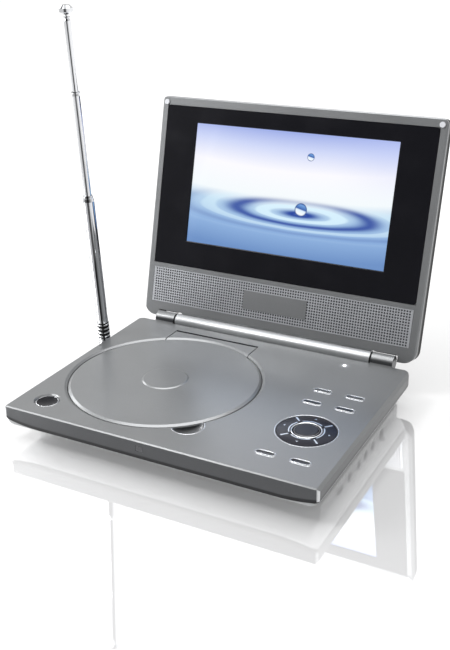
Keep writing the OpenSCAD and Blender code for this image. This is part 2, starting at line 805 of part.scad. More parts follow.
// Extrudes a shape drawn as (x, z) from y0 to y1 in the lid's frame
module lid_sheet(y0, y1) {
    translate([0, y1, 0]) rotate([90, 0, 0]) linear_extrude(y1 - y0) children();
}

// A rectangle centred on x = 0 that starts at height z
module lid_rect(w, z, h) {
    translate([-w / 2, z]) square([w, h]);
}

// The lid's outline, with the notch for the hinge
module lid_outline(inset) {
    height = lid_h - lid_z0 - 2 * inset;
    difference() {
        translate([0, lid_z0 + inset + height / 2])
            outline(lid_w - 2 * inset, height, lid_corner_low - inset, lid_corner_high - inset);
        lid_rect(2 * (notch_half + inset), -5, 5 + notch_h + inset);
    }
}

// The frame's outer block: its front edges are bevelled all round
module lid_front_block() {
    half = lid_w / 2;
    bevel_y = face_y + frame_bevel;
    intersection() {
        lid_sheet(face_y, frame_back_y) lid_outline(0);
        linear_extrude(400, center = true)
            polygon([[-half, bevel_y], [-half + frame_bevel, face_y], [half - frame_bevel, face_y],
                [half, bevel_y], [half, lid_back_y], [-half, lid_back_y]]);
        along_x(lid_w + 10)
            polygon([[face_y, -20], [lid_back_y, -20], [lid_back_y, lid_h], [bevel_y, lid_h],
                [face_y, lid_h - frame_bevel]]);
    }
}

module lid_frame() color(silver) {
    in_lid()
        difference() {
            lid_front_block();
            difference() {
                lid_sheet(face_y + frame_skin, frame_back_y + eps) lid_outline(lid_wall);
                for (side = [-1, 1])
                    translate([side * bumper_x, 0, bumper_z]) bar_y(face_y, frame_back_y, 2);
            }
            block([-notch_half + 12, face_y + frame_skin, -1], [notch_half - 12, 20, 12]);
            lid_sheet(face_y - eps, face_y + bezel_t + 0.1) lid_rect(bezel_w + 0.4, bezel_z - 0.2, bezel_h + 0.4);
            lid_sheet(face_y - eps, 10) lid_rect(168, screen_z - 5, 101);
            lid_sheet(face_y - eps, face_y + grille_t + 0.1)
                lid_rect(grille_w + 0.4, grille_z - 0.2, grille_h + 0.4);
            for (side = [-1, 1], i = [-3:3])
                lid_sheet(face_y, 10)
                    translate([side * speaker_x, speaker_z + i * 3]) stadium(21 - 2 * abs(i), 1.6);
            for (side = [-1, 1])
                translate([side * bumper_x, 0, bumper_z]) {
                    bar_y(face_y - eps, face_y + 0.9, bumper_r + 0.05);
                    bar_y(face_y - eps, 10, 1.1);
                }
        }
}

module screen_bezel() color(black) {
    in_lid()
        lid_sheet(face_y + 0.05, face_y + bezel_t)
            difference() {
                lid_rect(bezel_w, bezel_z, bezel_h);
                lid_rect(screen_w, screen_z, screen_h);
            }
}

module lcd_glass() color([0.25, 0.35, 0.75]) {
    in_lid()
        lid_sheet(face_y + bezel_t + 0.1, face_y + bezel_t + 1.3)
            lid_rect(screen_w + 6, screen_z - 2, screen_h + 5.4);
}

module backlight_module() color(steel) {
    in_lid()
        lid_sheet(face_y + bezel_t + 1.4, face_y + 7.2) lid_rect(165, screen_z - 3.4, 97);
}

module lcd_driver_board() color(board_green) {
    in_lid() {
        lid_sheet(face_y + 7.4, face_y + 8.4) lid_rect(86, 76, 56);
        lid_sheet(face_y + 8.4, face_y + 9.6) lid_rect(16, 96, 16);
    }
}

module inverter_board() color(board_green) {
    in_lid() {
        lid_sheet(face_y + 3.4, face_y + 4.6) lid_rect(84, 15, 20);
        lid_sheet(face_y + 4.6, face_y + 8.2) lid_rect(18, 18, 13);
    }
}

module speaker_grille() color(steel) {
    in_lid() lid_sheet(face_y, face_y + grille_t) lid_rect(grille_w, grille_z, grille_h);
}

module nameplate() color(bright_silver) {
    in_lid() lid_sheet(face_y - 0.3, face_y) lid_rect(50, 18, 13.6);
}

module speaker_frames() color(steel) {
    for (side = [-1, 1])
        in_lid() translate([side * speaker_x, 0, speaker_z])
            difference() {
                union() {
                    bar_y(face_y + frame_skin + 0.1, face_y + 4.6, 12);
                    bar_y(face_y + 4.5, face_y + 8.8, 8);
                }
                bar_y(face_y + 1, face_y + 4.2, 10.6);
            }
}

module speaker_cones() color(black) {
    for (side = [-1, 1])
        in_lid() translate([side * speaker_x, face_y + 4.1, speaker_z])
            rotate([90, 0, 0])
                difference() {
                    cylinder(h = 1.6, r1 = 4, r2 = 10.2);
                    translate([0, 0, 0.7]) cylinder(h = 1.6, r1 = 3.4, r2 = 9.6);
                }
}

module lid_bumpers() color(white) {
    for (side = [-1, 1])
        in_lid() translate([side * bumper_x, 0, bumper_z]) bar_y(face_y - 0.8, face_y + 0.85, bumper_r);
}

module lid_screws() color(steel) {
    for (side = [-1, 1])
        in_lid() translate([side * bumper_x, 0, bumper_z]) {
            bar_y(face_y + frame_skin, lid_back_y - 3, 0.9);
            bar_y(face_y + 0.95, face_y + frame_skin + 0.1, 1.0);
        }
}

// The rear shell's outer block: edges slope in towards the back
module lid_back_block(inset) {
    y0 = frame_back_y + seam;
    y1 = lid_back_y - inset;
    slope = back_bevel;
    bevel_y = y1 - 2.2;                 // where the side walls turn in
    half = lid_w / 2 - inset;
    z0 = lid_z0 + inset;
    z1 = lid_h - inset;
    intersection() {
        lid_sheet(y0, y1) lid_outline(inset);
        linear_extrude(400, center = true)
            polygon([[-half, y0], [half, y0], [half, bevel_y], [half - slope, y1],
                [-half + slope, y1], [-half, bevel_y]]);
        along_x(lid_w + 10)
            polygon([[y0, z0 - 20], [y0 + 5, z0 - 20], [y1, z0 + 4], [y1, z1 - slope],
                [bevel_y, z1], [y0, z1]]);
    }
}

module lid_back() color(black) {
    in_lid()
        difference() {
            union() {
                difference() {
                    lid_back_block(0);
                    translate([0, -0.01, 0]) lid_back_block(lid_wall);
                }
                for (side = [-1, 1])
                    intersection() {
                        translate([side * bumper_x, 0, bumper_z])
                            bar_y(frame_back_y + seam, lid_back_y - 1, 2.6);
                        lid_back_block(0);
                    }
            }
            for (side = [-1, 1])
                translate([side * bumper_x, 0, bumper_z]) bar_y(face_y, lid_back_y - 3, 0.9);
        }
}

module hinge_barrel() color(bright_silver) {
    in_lid()
        difference() {
            union() {
                bar_x(-barrel_half, barrel_half, barrel_r);
                block([-76, face_y + frame_skin + 0.1, 2], [76, frame_back_y - 0.1, 9.5]);
            }
            bar_x(-barrel_half - 1, barrel_half + 1, barrel_bore_r);
            block([-40, face_y + 2.4, -1], [-30, face_y + 3.6, 12]);
        }
}

module hinge_shafts() color(steel) {
    for (side = [0, 1])
        in_lid() mirror([side, 0, 0]) {
            bar_x(62, barrel_half - 0.5, barrel_bore_r);
            bar_x(62, knuckle_x1 - 2, shaft_r);
        }
}

module display_cable() color(black) {
    in_lid() {
        bar_x(-58, -30.3, 1.6);
        block([-39.7, face_y + 2.7, -0.5], [-30.3, face_y + 3.3, 15.6]);
        block([-39.7, 0, -0.5], [-30.3, face_y + 3.3, 0.3]);
    }
}

// ---- Aerial --------------------------------------------------------------------

// Places a shape drawn in the aerial's own frame, with the tubes along z
module in_aerial() {
    translate([aerial_x, aerial_y, aerial_z]) rotate([aerial_lean, 0, 0]) children();
}

module aerial_socket() color(black) {
    x_in = -body_w / 2 + wall;
    translate([0, aerial_y, aerial_z])
        difference() {
            union() {
                bar_x(-body_w / 2 - 0.6, x_in + 0.2, 4.5);
                block([x_in + 0.1, -6, -4.6], [x_in + 4, 6, 5]);
            }
            bar_x(-body_w / 2 - 1, x_in + 3, swivel_r + run_gap);
        }
}

module aerial_swivel() color(chrome) {
    shaft_x0 = -body_w / 2 + 3 - aerial_x;     // inner end of the swivel shaft
    in_aerial() {
        difference() {
            union() {
                bar_x(8.5, shaft_x0, swivel_r);
                bar_x(4.2, 8.6, collar_r);
                for (side = [-1, 1])
                    bar_y(side > 0 ? cheek_in : -cheek_out, side > 0 ? cheek_out : -cheek_in, cheek_r);
                for (side = [-1, 1])
                    block([0, side > 0 ? cheek_in : -cheek_out, -2.4], [5, side > 0 ? cheek_out : -cheek_in, 2.4]);
            }
            bar_y(-6, 6, pin_r);
        }
    }
}

module aerial_pin() color(steel) {
    in_aerial() bar_y(-cheek_out + 0.1, cheek_out - 0.1, pin_r);
}

module aerial_tube_1() color(chrome) {
    in_aerial()
        difference() {
            union() {
                bar_y(-2.2, 2.2, 3.9);
                block([-2.9, -2.2, 0], [2.9, 2.2, tube_1_foot + 0.5]);
                translate([0, 0, tube_1_foot])
                    cylinder(h = tube_1_top - shoulder_h - tube_1_foot, r = tube_1_r);
                for (z = [8, 11, 14]) translate([0, 0, z]) cylinder(h = 1.2, r = tube_1_r + 0.35);
                translate([0, 0, tube_1_top - shoulder_h - 0.01])
                    cylinder(h = shoulder_h + 0.01, r1 = tube_1_r, r2 = tube_2_r + 0.5);
            }
            bar_y(-4, 4, pin_r + run_gap);
            translate([0, 0, tube_1_bore]) cylinder(h = 200, r = tube_2_r + run_gap);
        }
}

module aerial_tube_2() color(chrome) {
    in_aerial()
        difference() {
            union() {
                translate([0, 0, tube_1_top - 10]) cylinder(h = tube_2_top - tube_1_top + 8, r = tube_2_r);
                translate([0, 0, tube_2_top - 2.01])
                    cylinder(h = 2.01, r1 = tube_2_r, r2 = tube_3_r + 0.25);
            }
            translate([0, 0, tube_1_top - 9]) cylinder(h = 200, r = tube_3_r + run_gap);
        }
}

module aerial_tube_3() color(chrome) {
    in_aerial()
        difference() {
            union() {
                translate([0, 0, tube_2_top - 10]) cylinder(h = tube_3_top - tube_2_top + 8.5, r = tube_3_r);
                translate([0, 0, tube_3_top - 1.51])
                    cylinder(h = 1.51, r1 = tube_3_r, r2 = rod_tip_r + 0.4);
            }
            translate([0, 0, tube_2_top - 9]) cylinder(h = 200, r = rod_tip_r + run_gap);
        }
}

module aerial_rod() color(chrome) {
    in_aerial() translate([0, 0, tube_2_top + 4]) cylinder(h = knob_z - tube_2_top - 3, r = rod_tip_r);
}

module aerial_knob() color(chrome) {
    in_aerial() translate([0, 0, knob_z])
        difference() {
            union() {
                cylinder(h = 1.6, r1 = 2, r2 = knob_r);
                translate([0, 0, 1.59]) cylinder(h = 2.2, r = knob_r);
                translate([0, 0, 3.78]) cylinder(h = 1.8, r1 = knob_r, r2 = knob_r - 1.8);
            }
            translate([0, 0, -1]) cylinder(h = 2, r = rod_tip_r);
        }
}

bottom_case();
deck_cover();
rubber_feet();
case_screws();
disc_door();
door_hinge_pins();
open_button();
door_latch();
disc_well();
traverse_chassis();
chassis_bushes();
spindle_motor();
spindle_hub();
pickup_sled();
objective_lens();
guide_rods();
sled_motor();
lead_screw();
main_board();
board_components();
side_jacks();
power_switch();
battery_pack();
key_board();
rubber_keypad();
pill_key(0);  // key_back_left
pill_key(1);  // key_back_right
pill_key(2);  // key_middle_left
pill_key(3);  // key_middle_right
pill_key(4);  // key_front_left
pill_key(5);  // key_front_right
nav_gimbal();
nav_ring();
centre_button();
light_pipe();
ir_window();
lid_frame();
screen_bezel();
lcd_glass();
backlight_module();
lcd_driver_board();
inverter_board();
speaker_grille();
nameplate();
speaker_frames();
speaker_cones();
lid_bumpers();
lid_screws();
lid_back();
hinge_barrel();
hinge_shafts();
display_cable();
aerial_socket();
aerial_swivel();
aerial_pin();
aerial_tube_1();
aerial_tube_2();
aerial_tube_3();
aerial_rod();
aerial_knob();
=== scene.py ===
"""Looks of a portable disc player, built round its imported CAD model.

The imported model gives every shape, place and size. This file gives each of its
nodes a finish made from shader nodes, and adds the fine pieces that the CAD
leaves out: the perforated speaker sheet, the picture on the screen, the dished
key caps, the marks on the navigation ring and the beads of the aerial.
"""

import logging
import math
from dataclasses import dataclass, field
from enum import Enum
from typing import Sequence

import bmesh
import bpy
from mathutils import Matrix, Vector


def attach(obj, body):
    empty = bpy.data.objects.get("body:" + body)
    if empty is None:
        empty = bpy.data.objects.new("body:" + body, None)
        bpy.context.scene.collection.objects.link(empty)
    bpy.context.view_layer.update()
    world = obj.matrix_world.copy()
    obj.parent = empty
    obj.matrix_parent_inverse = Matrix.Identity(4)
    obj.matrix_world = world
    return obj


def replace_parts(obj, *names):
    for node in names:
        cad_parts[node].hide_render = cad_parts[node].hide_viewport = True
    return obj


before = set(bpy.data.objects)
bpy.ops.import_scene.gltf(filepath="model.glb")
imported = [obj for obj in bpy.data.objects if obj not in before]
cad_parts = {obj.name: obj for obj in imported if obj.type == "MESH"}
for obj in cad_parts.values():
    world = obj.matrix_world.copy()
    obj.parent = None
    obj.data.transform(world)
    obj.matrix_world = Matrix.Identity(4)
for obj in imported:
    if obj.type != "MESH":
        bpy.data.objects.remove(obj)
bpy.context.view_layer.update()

LOG = logging.getLogger("disc_player")
MM = 0.001  # a millimetre, in metres
CREASE = 20.0  # angle, in degrees, from which an edge is shaded crisp

BLACK = (0.0, 0.0, 0.0)
FULL = (1.0, 1.0, 1.0)

Colour = tuple[float, float, float]
Point = tuple[float, float, float]
Pair = tuple[float, float]
Outline = list[Pair]
Level = tuple[Outline, float]


# ---------------------------------------------------------------- shader kit


class Value:
    """A number that varies over a surface, which Python maths can be done on."""

    def __init__(self, nodes: "NodeKit", socket: bpy.types.NodeSocket) -> None:
        """Keep the socket and the tree it belongs to.

        Args:
            nodes: The node tree that new Math nodes go into.
            socket: The output that carries the number.
        """
        self.nodes = nodes
        self.socket = socket

    def math(self, operation: str, *others: "Value | float", clamp: bool = False) -> "Value":
        """Add one Math node.

        Args:
            operation: The Math node's operation.
            others: The inputs that follow this value.
            clamp: Whether the result is held between 0 and 1.

        Returns:
            The node's output as a new value.
        """
        settings = {"operation": operation, "use_clamp": clamp}
        node = self.nodes.add("ShaderNodeMath", settings, dict(enumerate((self, *others))))
        return Value(self.nodes, node.outputs[0])

    def _reflected(self, operation: str, other: float) -> "Value":
        """Add one Math node whose first input is a plain number.

        Args:
            operation: The Math node's operation.
            other: The number in front of the operator.

        Returns:
            The node's output as a new value.
        """
        node = self.nodes.add("ShaderNodeMath", {"operation": operation}, {0: other, 1: self})
        return Value(self.nodes, node.outputs[0])

    def __add__(self, other: "Value | float") -> "Value":
        """Sum."""
        return self.math("ADD", other)

    def __radd__(self, other: float) -> "Value":
        """Sum with a plain number first."""
        return self.math("ADD", other)

    def __sub__(self, other: "Value | float") -> "Value":
        """Difference."""
        return self.math("SUBTRACT", other)

    def __rsub__(self, other: float) -> "Value":
        """Difference from a plain number."""
        return self._reflected("SUBTRACT", other)

    def __mul__(self, other: "Value | float") -> "Value":
        """Product."""
        return self.math("MULTIPLY", other)

    def __rmul__(self, other: float) -> "Value":
        """Product with a plain number first."""
        return self.math("MULTIPLY", other)

    def __truediv__(self, other: "Value | float") -> "Value":
        """Quotient."""
        return self.math("DIVIDE", other)

    def __rtruediv__(self, other: float) -> "Value":
        """Quotient of a plain number and this value."""
        return self._reflected("DIVIDE", other)

    def __pow__(self, other: float) -> "Value":
        """Power."""
        return self.math("POWER", other)

    def __neg__(self) -> "Value":
        """Opposite."""
        return self.math("MULTIPLY", -1.0)

    def sine(self) -> "Value":
        """Sine of an angle in radians."""
        return self.math("SINE")

    def size(self) -> "Value":
        """Absolute value."""
        return self.math("ABSOLUTE")

    def root(self) -> "Value":
        """Square root."""
        return self.math("SQRT")

    def held(self) -> "Value":
        """The value, held between 0 and 1."""
        return self.math("ADD", 0.0, clamp=True)

    def step(self, low: float, high: float) -> "Value":
        """Rise smoothly from 0 to 1 between two numbers.

        Args:
            low: Where the rise starts.
            high: Where it ends. It may be under low, for a fall.

        Returns:
            The eased value.
        """
        node = self.nodes.add(
            "ShaderNodeMapRange",
            {"interpolation_type": "SMOOTHSTEP"},
            {"Value": self, "From Min": min(low, high), "From Max": max(low, high)},
        )
        rise = Value(self.nodes, node.outputs[0])
        return rise if low < high else 1.0 - rise


class NodeKit:
    """The node tree of a material or a world, and the one way that nodes are added to it."""

    def __init__(self, name: str, world: bool = False) -> None:
        """Start an empty tree with a shader and an output.

        Args:
            name: Name of the material or world.
            world: Whether the tree is for the surroundings.
        """
        shader, output = "ShaderNodeBsdfPrincipled", "ShaderNodeOutputMaterial"
        if world:
            shader, output = "ShaderNodeBackground", "ShaderNodeOutputWorld"
        self.owner = (bpy.data.worlds if world else bpy.data.materials).new(name)
        self.owner.use_nodes = True
        self.tree = self.owner.node_tree
        self.tree.nodes.clear()
        self.shader = self.add(shader)
        self.output = self.add(output, {}, {"Surface": self.shader.outputs[0]})

    def add(
        self,
        kind: str,
        settings: dict[str, object] | None = None,
        sockets: dict[str | int, object] | None = None,
    ) -> bpy.types.Node:
        """Add a node.

        Args:
            kind: The node's type.
            settings: Its properties. "stops" gives a ramp's (place, colour) pairs.
            sockets: Values, colours or links of its inputs, by name or by index.

        Returns:
            The new node.
        """
        node = self.tree.nodes.new(kind)
        for key, setting in (settings or {}).items():
            if key == "stops":
                self._set_stops(node.color_ramp, setting)
            else:
                setattr(node, key, setting)
        for key, value in (sockets or {}).items():
            self.feed(node.inputs[key], value)
        return node

    @staticmethod
    def _set_stops(ramp: bpy.types.ColorRamp, stops: Sequence[tuple[float, Colour]]) -> None:
        """Give a ramp its stops.

        Args:
            ramp: The ramp of a Color Ramp node.
            stops: Pairs of a place and a colour.
        """
        while len(ramp.elements) < len(stops):
            ramp.elements.new(1.0)
        for element, (place, colour) in zip(ramp.elements, stops):
            element.position = place
            element.color = (*colour, 1.0)

    def feed(self, socket: bpy.types.NodeSocket, value: object) -> None:
        """Link or set one input.

        Args:
            socket: The input.
            value: A Value, an output socket, a number, a colour or a vector.
        """
        if isinstance(value, Value):
            value = value.socket
        if isinstance(value, bpy.types.NodeSocket):
            self.tree.links.new(value, socket)
        elif socket.type == "RGBA" and len(value) == 3:
            socket.default_value = (*value, 1.0)
        else:
            socket.default_value = value

    def surface(self, name: str, value: object) -> None:
        """Link or set one input of the shader, by its name."""
        self.feed(self.shader.inputs[name], value)

    def place(self) -> bpy.types.NodeSocket:
        """The surface point in the object's own frame, in metres."""
        return self.add("ShaderNodeTexCoord").outputs["Object"]

    def facing(self) -> tuple[Value, Value, Value]:
        """The surface's own direction, as its three parts in the object's frame."""
        source = self.add("ShaderNodeTexCoord").outputs["Normal"]
        return tuple(Value(self, part) for part in self.add("ShaderNodeSeparateXYZ", {}, {0: source}).outputs)

    def axis(self, direction: Point, origin: Point = (0.0, 0.0, 0.0), scale: float = 1.0) -> Value:
        """Measure the surface point along a direction.

        Args:
            direction: Unit vector to measure along.
            origin: Point where the measure is 0, in metres.
            scale: What a metre is multiplied by.

        Returns:
            The distance along the direction, times the scale.
        """
        off = self.vector("SUBTRACT", self.place(), origin).outputs[0]
        scaled = tuple(c * scale for c in direction)
        return Value(self, self.vector("DOT_PRODUCT", off, scaled).outputs["Value"])

    def over_seam(self) -> Value:
        """Measure the surface point's height over the seam of the base, which climbs at the sides.

        Returns:
            The height over the seam, in metres.
        """
        level, rise = 0.0138, 0.003
        climb_from, climb_width = 0.082, 0.026
        climb = ((self.axis((1.0, 0.0, 0.0)).size() - climb_from) / climb_width).held()
        return self.axis((0.0, 0.0, 1.0)) - climb * climb * rise - level

    def vector(self, operation: str, *inputs: object) -> bpy.types.Node:
        """Add one Vector Math node, with its inputs in order."""
        return self.add("ShaderNodeVectorMath", {"operation": operation}, dict(enumerate(inputs)))

    def noise(self, scale: float, detail: float = 2.0, stretch: Point = FULL, seed: float = 0.0) -> Value:
        """Smooth noise over the surface.

        Args:
            scale: Waves in a metre.
            detail: Finer layers added.
            stretch: Factors on the frequency along each axis.
            seed: Offset that tells two noises apart.

        Returns:
            Noise from about 0 to 1.
        """
        warped = self.vector("MULTIPLY_ADD", self.place(), stretch, (seed, seed * 0.7, -seed)).outputs[0]
        node = self.add("ShaderNodeTexNoise", {}, {"Vector": warped, "Scale": scale, "Detail": detail})
        return Value(self, node.outputs[0])

    def cells(self, scale: float) -> Value:
        """Random grey for each small cell.

        Args:
            scale: Cells in a metre.

        Returns:
            A number from 0 to 1 that is even over each cell.
        """
        node = self.add("ShaderNodeTexVoronoi", {}, {"Vector": self.place(), "Scale": scale})
        split = self.add("ShaderNodeSeparateColor", {}, {0: node.outputs["Color"]})
        return Value(self, split.outputs[0])

    def mix(self, factor: "Value | float", first: object, second: object) -> bpy.types.NodeSocket:
        """Mix two colours.

        Args:
            factor: 0 for the first colour, 1 for the second.
            first: A colour or an output.
            second: A colour or an output.

        Returns:
            The mixed colour.
        """
        node = self.add("ShaderNodeMix", {"data_type": "RGBA"}, {0: factor, 6: first, 7: second})
        return node.outputs[2]

    def ramp(self, value: Value, stops: Sequence[tuple[float, Colour]]) -> bpy.types.NodeSocket:
        """Turn a number into a colour.

        Args:
            value: The number, from 0 to 1.
            stops: Pairs of a place and a colour.

        Returns:
            The colour.
        """
        return self.add("ShaderNodeValToRGB", {"stops": stops}, {0: value}).outputs[0]

    def bump(self, height: Value, depth: float, strength: float = 1.0) -> None:
        """Feed the shader's normal from a height.

        Args:
            height: Height of the surface, from 0 to 1.
            depth: What a height of 1 is, in metres.
            strength: How much of it shows.
        """
        node = self.add("ShaderNodeBump", {}, {"Height": height, "Distance": depth, "Strength": strength})
        self.surface("Normal", node.outputs[0])

    def coat(self, weight: float, roughness: float) -> None:
        """Put a clear coat on.

        Args:
            weight: Strength of the coat.
            roughness: Its roughness.
        """
        self.surface("Coat Weight", weight)
        self.surface("Coat Roughness", roughness)


# ------------------------------------------------------------------ finishes


@dataclass(frozen=True)
class Finish:
    """A surface finish, named after its slot when it has no label."""

    slot: str
    colour: Colour
    roughness: float = 0.4
    metallic: float = 0.0
    label: str = ""

    def material(self) -> bpy.types.Material:
        """Build the finish, or find it if it is there.

        Returns:
            Its material.
        """
        known = bpy.data.materials.get(self.name)
        if known:
            return known
        kit = NodeKit(self.name)
        kit.surface("Base Color", self.colour)
        kit.surface("Roughness", self.roughness)
        kit.surface("Metallic", self.metallic)
        self.dress(kit)
        return kit.owner

    @property
    def name(self) -> str:
        """Name of the material."""
        return self.label or f"{self.slot}_{type(self).__name__.lower()}"

    def dress(self, kit: NodeKit) -> None:
        """Add the detail of this finish.

        Args:
            kit: The material's tree, with the plain values already set.
        """
        raise NotImplementedError

    def tint(self, kit: NodeKit, amount: "Value | float", factor: float) -> None:
        """Vary the base colour between this finish's own colour and a brighter or darker one.

        Args:
            kit: The material's tree.
            amount: 0 for the plain colour, 1 for the changed one.
            factor: What the changed colour is multiplied by.
        """
        other = tuple(min(1.0, c * factor) for c in self.colour)
        kit.surface("Base Color", kit.mix(amount, self.colour, other))


@dataclass(frozen=True)
class SatinPaint(Finish):
    """Metallic paint: fine flakes under a thin satin lacquer."""

    flake: float = 0.00022
    sparkle: float = 0.35

    def dress(self, kit: NodeKit) -> None:
        """Flakes of uneven brightness, a faint cloudiness and a fine orange peel."""
        self.lay(kit, self.colour)

    def lay(self, kit: NodeKit, under: object) -> None:
        """Lay the flakes over a base colour.

        Args:
            kit: The material's tree.
            under: The colour, or an output that carries it.
        """
        flakes = kit.cells(1 / self.flake)
        cloud = kit.noise(28, 3)
        amount = (flakes * self.sparkle + cloud * 0.5 - 0.1).held()
        bright = kit.add("ShaderNodeVectorMath", {"operation": "SCALE"}, {0: under, "Scale": 1.35}).outputs[0]
        kit.surface("Base Color", kit.mix(amount, under, bright))
        kit.surface("Roughness", self.roughness - 0.05 + cloud * 0.06 + flakes * 0.06)
        kit.bump(flakes * 0.6 + kit.noise(1400, 2) * 0.4, 0.000006, 0.6 * self.sparkle / 0.35)
        kit.coat(0.25, 0.22)


@dataclass(frozen=True)
class SideShadedPaint(SatinPaint):
    """Satin paint with painted shade on the upright sides, a painted highlight on the upright corners and
    painted shade in the gap along the foot of the sides.
    """

    # band: painted shade on the upright sides, which are the same silver as the top
    band: Colour = (0.068, 0.070, 0.074)
    # corner: painted highlight on the upright corners
    corner: Colour = (0.62, 0.63, 0.64)
    lamp: Point = (0.0644, 0.068, 0.0248)
    halo: float = 0.0022

    def dress(self, kit: NodeKit) -> None:
        """Painted shade on the upright sides, a painted highlight on the upright corners, painted shade in
        the gap along their foot, and the lamp's soft halo on the deck.

        Args:
            kit: The material's tree.
        """
        x, y, z = kit.facing()
        side = z.size().step(0.55, 0.3)
        # turned marks the upright corners, which get the painted highlight
        turned = (x * y).size().step(0.22, 0.46) * side
        # foot: painted shade in the gap where the sides meet the base
        foot = kit.over_seam().step(0.0022, 0.0008) * side * (1.0 - turned)
        under = kit.mix(turned, kit.mix(side, self.colour, self.band), self.corner)
        under = kit.mix(foot * 0.85, under, (0.006, 0.006, 0.007))
        self.lay(kit, under)
        off = kit.vector("DISTANCE", kit.place(), self.lamp).outputs["Value"]
        reach = Value(kit, off) / self.halo
        glow = (-(reach * reach)).math("EXPONENT") * 0.45
        kit.surface("Emission Color", kit.mix(glow, BLACK, (0.9, 0.9, 1.0)))
        kit.surface("Emission Strength", 1.0)


@dataclass(frozen=True)
class CasePaint(SatinPaint):
    """Satin paint with painted shade just under the seam with the deck, dark as deep in a gap."""

    gap: float = 0.0011

    def dress(self, kit: NodeKit) -> None:
        """Paint, with a line of painted shade that follows the climbing seam."""
        # line: painted shade of the gap under the seam
        line = kit.over_seam().step(-1.3 * self.gap, -0.9 * self.gap)
        self.lay(kit, kit.mix(line, self.colour, (0.004, 0.004, 0.004)))


@dataclass(frozen=True)
class FramePaint(SatinPaint):
    """Satin paint on the lid's frame, whose rear step is black like the lid's back."""

    back: Point = (0.0, 1.0, 0.0)
    origin: Point = (0.0, 0.0, 0.0)
    step_at: float = 0.0034

    def dress(self, kit: NodeKit) -> None:
        """Paint in front of the step, black behind it."""
        behind = kit.axis(self.back, self.origin).step(self.step_at - 0.0001, self.step_at + 0.0001)
        self.lay(kit, kit.mix(behind, self.colour, (0.006, 0.006, 0.0065)))


@dataclass(frozen=True)
class Moulded(Finish):
    """Spark-eroded plastic with a fine matt grain."""

    grain: float = 0.0006
    depth: float = 0.00003
    specular: float = 0.4

    def dress(self, kit: NodeKit) -> None:
        """A fine grain, with slightly shinier peaks and faint handling marks.

        Args:
            kit: The material's tree.
        """
        grain = kit.noise(1 / self.grain, 4)
        rubbed = kit.noise(45, 4, seed=3.0).step(0.5, 0.75)
        self.tint(kit, (grain * 0.6 + rubbed * 0.4).held(), 1.5)
        kit.surface("Specular IOR Level", self.specular)
        kit.surface("Roughness", self.roughness + grain * 0.12 - rubbed * 0.1)
        kit.bump(grain, self.depth, 0.7)


@dataclass(frozen=True)
class Gloss(Finish):
    """Polished plastic with a deep wet shine."""

    shine: float = 0.6
    specular: float = 0.5

    def dress(self, kit: NodeKit) -> None:
        """A faint waviness and dust-fine haze under the shine.

        Args:
            kit: The material's tree.
        """
        haze = kit.noise(60, 4)
        kit.surface("Specular IOR Level", self.specular)
        self.tint(kit, haze, 1.4)
        kit.surface("Roughness", self.roughness + haze.step(0.45, 0.8) * 0.06)
        kit.bump(kit.noise(160, 1), 0.000008, 0.4)
        kit.coat(self.shine, 0.03)


@dataclass(frozen=True)
class Rubber(Finish):
    """Soft rubber with a dusty matt skin."""

    def dress(self, kit: NodeKit) -> None:
        """Pores, and pale dust that gathers in patches.

        Args:
            kit: The material's tree.
        """
        pores = kit.noise(2600, 3)
        self.tint(kit, kit.noise(220, 4).step(0.45, 0.8), 1.9)
        kit.surface("Roughness", self.roughness - pores * 0.12)
        kit.bump(pores, 0.00005, 0.6)


@dataclass(frozen=True)
class BrushedMetal(Finish):
    """Metal with drawn or turned lines along one axis."""

    along: Point = (0.03, 1.0, 1.0)
    line: float = 0.0003

    def dress(self, kit: NodeKit) -> None:
        """Long fine lines, with a few deeper ones and some cloudiness.

        Args:
            kit: The material's tree.
        """
        lines = kit.noise(1 / self.line, 3, self.along)
        cloud = kit.noise(90, 3)
        self.tint(kit, (lines * 0.7 + cloud * 0.3).held(), 1.3)
        kit.surface("Roughness", self.roughness + lines * 0.14 + cloud * 0.05)
        kit.bump(lines, 0.000012, 0.5)


@dataclass(frozen=True)
class Chrome(Finish):
    """Bright plating, faintly drawn along the tubes, with finger haze."""

    def dress(self, kit: NodeKit) -> None:
        """Hair-fine draw lines and uneven haze, with painted reflections: a painted darker side, a painted
        dark streak down the middle and painted darker edges.

        Args:
            kit: The material's tree.
        """
        haze = kit.noise(70, 5)
        lines = kit.noise(2500, 2, (1.0, 1.0, 0.02))
        x, y, _ = kit.facing()
        turned = x * 0.88 + y * 0.47
        weight = kit.add("ShaderNodeLayerWeight", {}, {"Blend": 0.5})
        away = Value(kit, weight.outputs["Facing"])
        # painted reflection: the side that faces front and left is drawn darker
        painted_dark_side = turned.step(0.06, -0.10) * 0.42
        # seam: painted reflection, a dark streak where the tube faces the viewer
        seam = away.step(0.34, 0.16) * turned.step(-0.25, -0.08) * turned.step(0.3, 0.12)
        # edge: painted reflection, darker where the tube turns away
        edge = away.step(0.72, 0.95)
        plate = kit.mix(painted_dark_side, self.colour, (0.16, 0.165, 0.17))
        plate = kit.mix((seam * 0.92).held(), plate, (0.02, 0.02, 0.022))
        plate = kit.mix((edge * 0.8).held(), plate, (0.10, 0.10, 0.105))
        kit.surface("Base Color", kit.mix(haze.step(0.5, 0.8) * 0.3, plate, (0.5, 0.5, 0.52)))
        kit.surface("Roughness", self.roughness + haze.step(0.4, 0.8) * 0.05 + lines * 0.03)
        kit.bump(lines, 0.000004, 0.4)


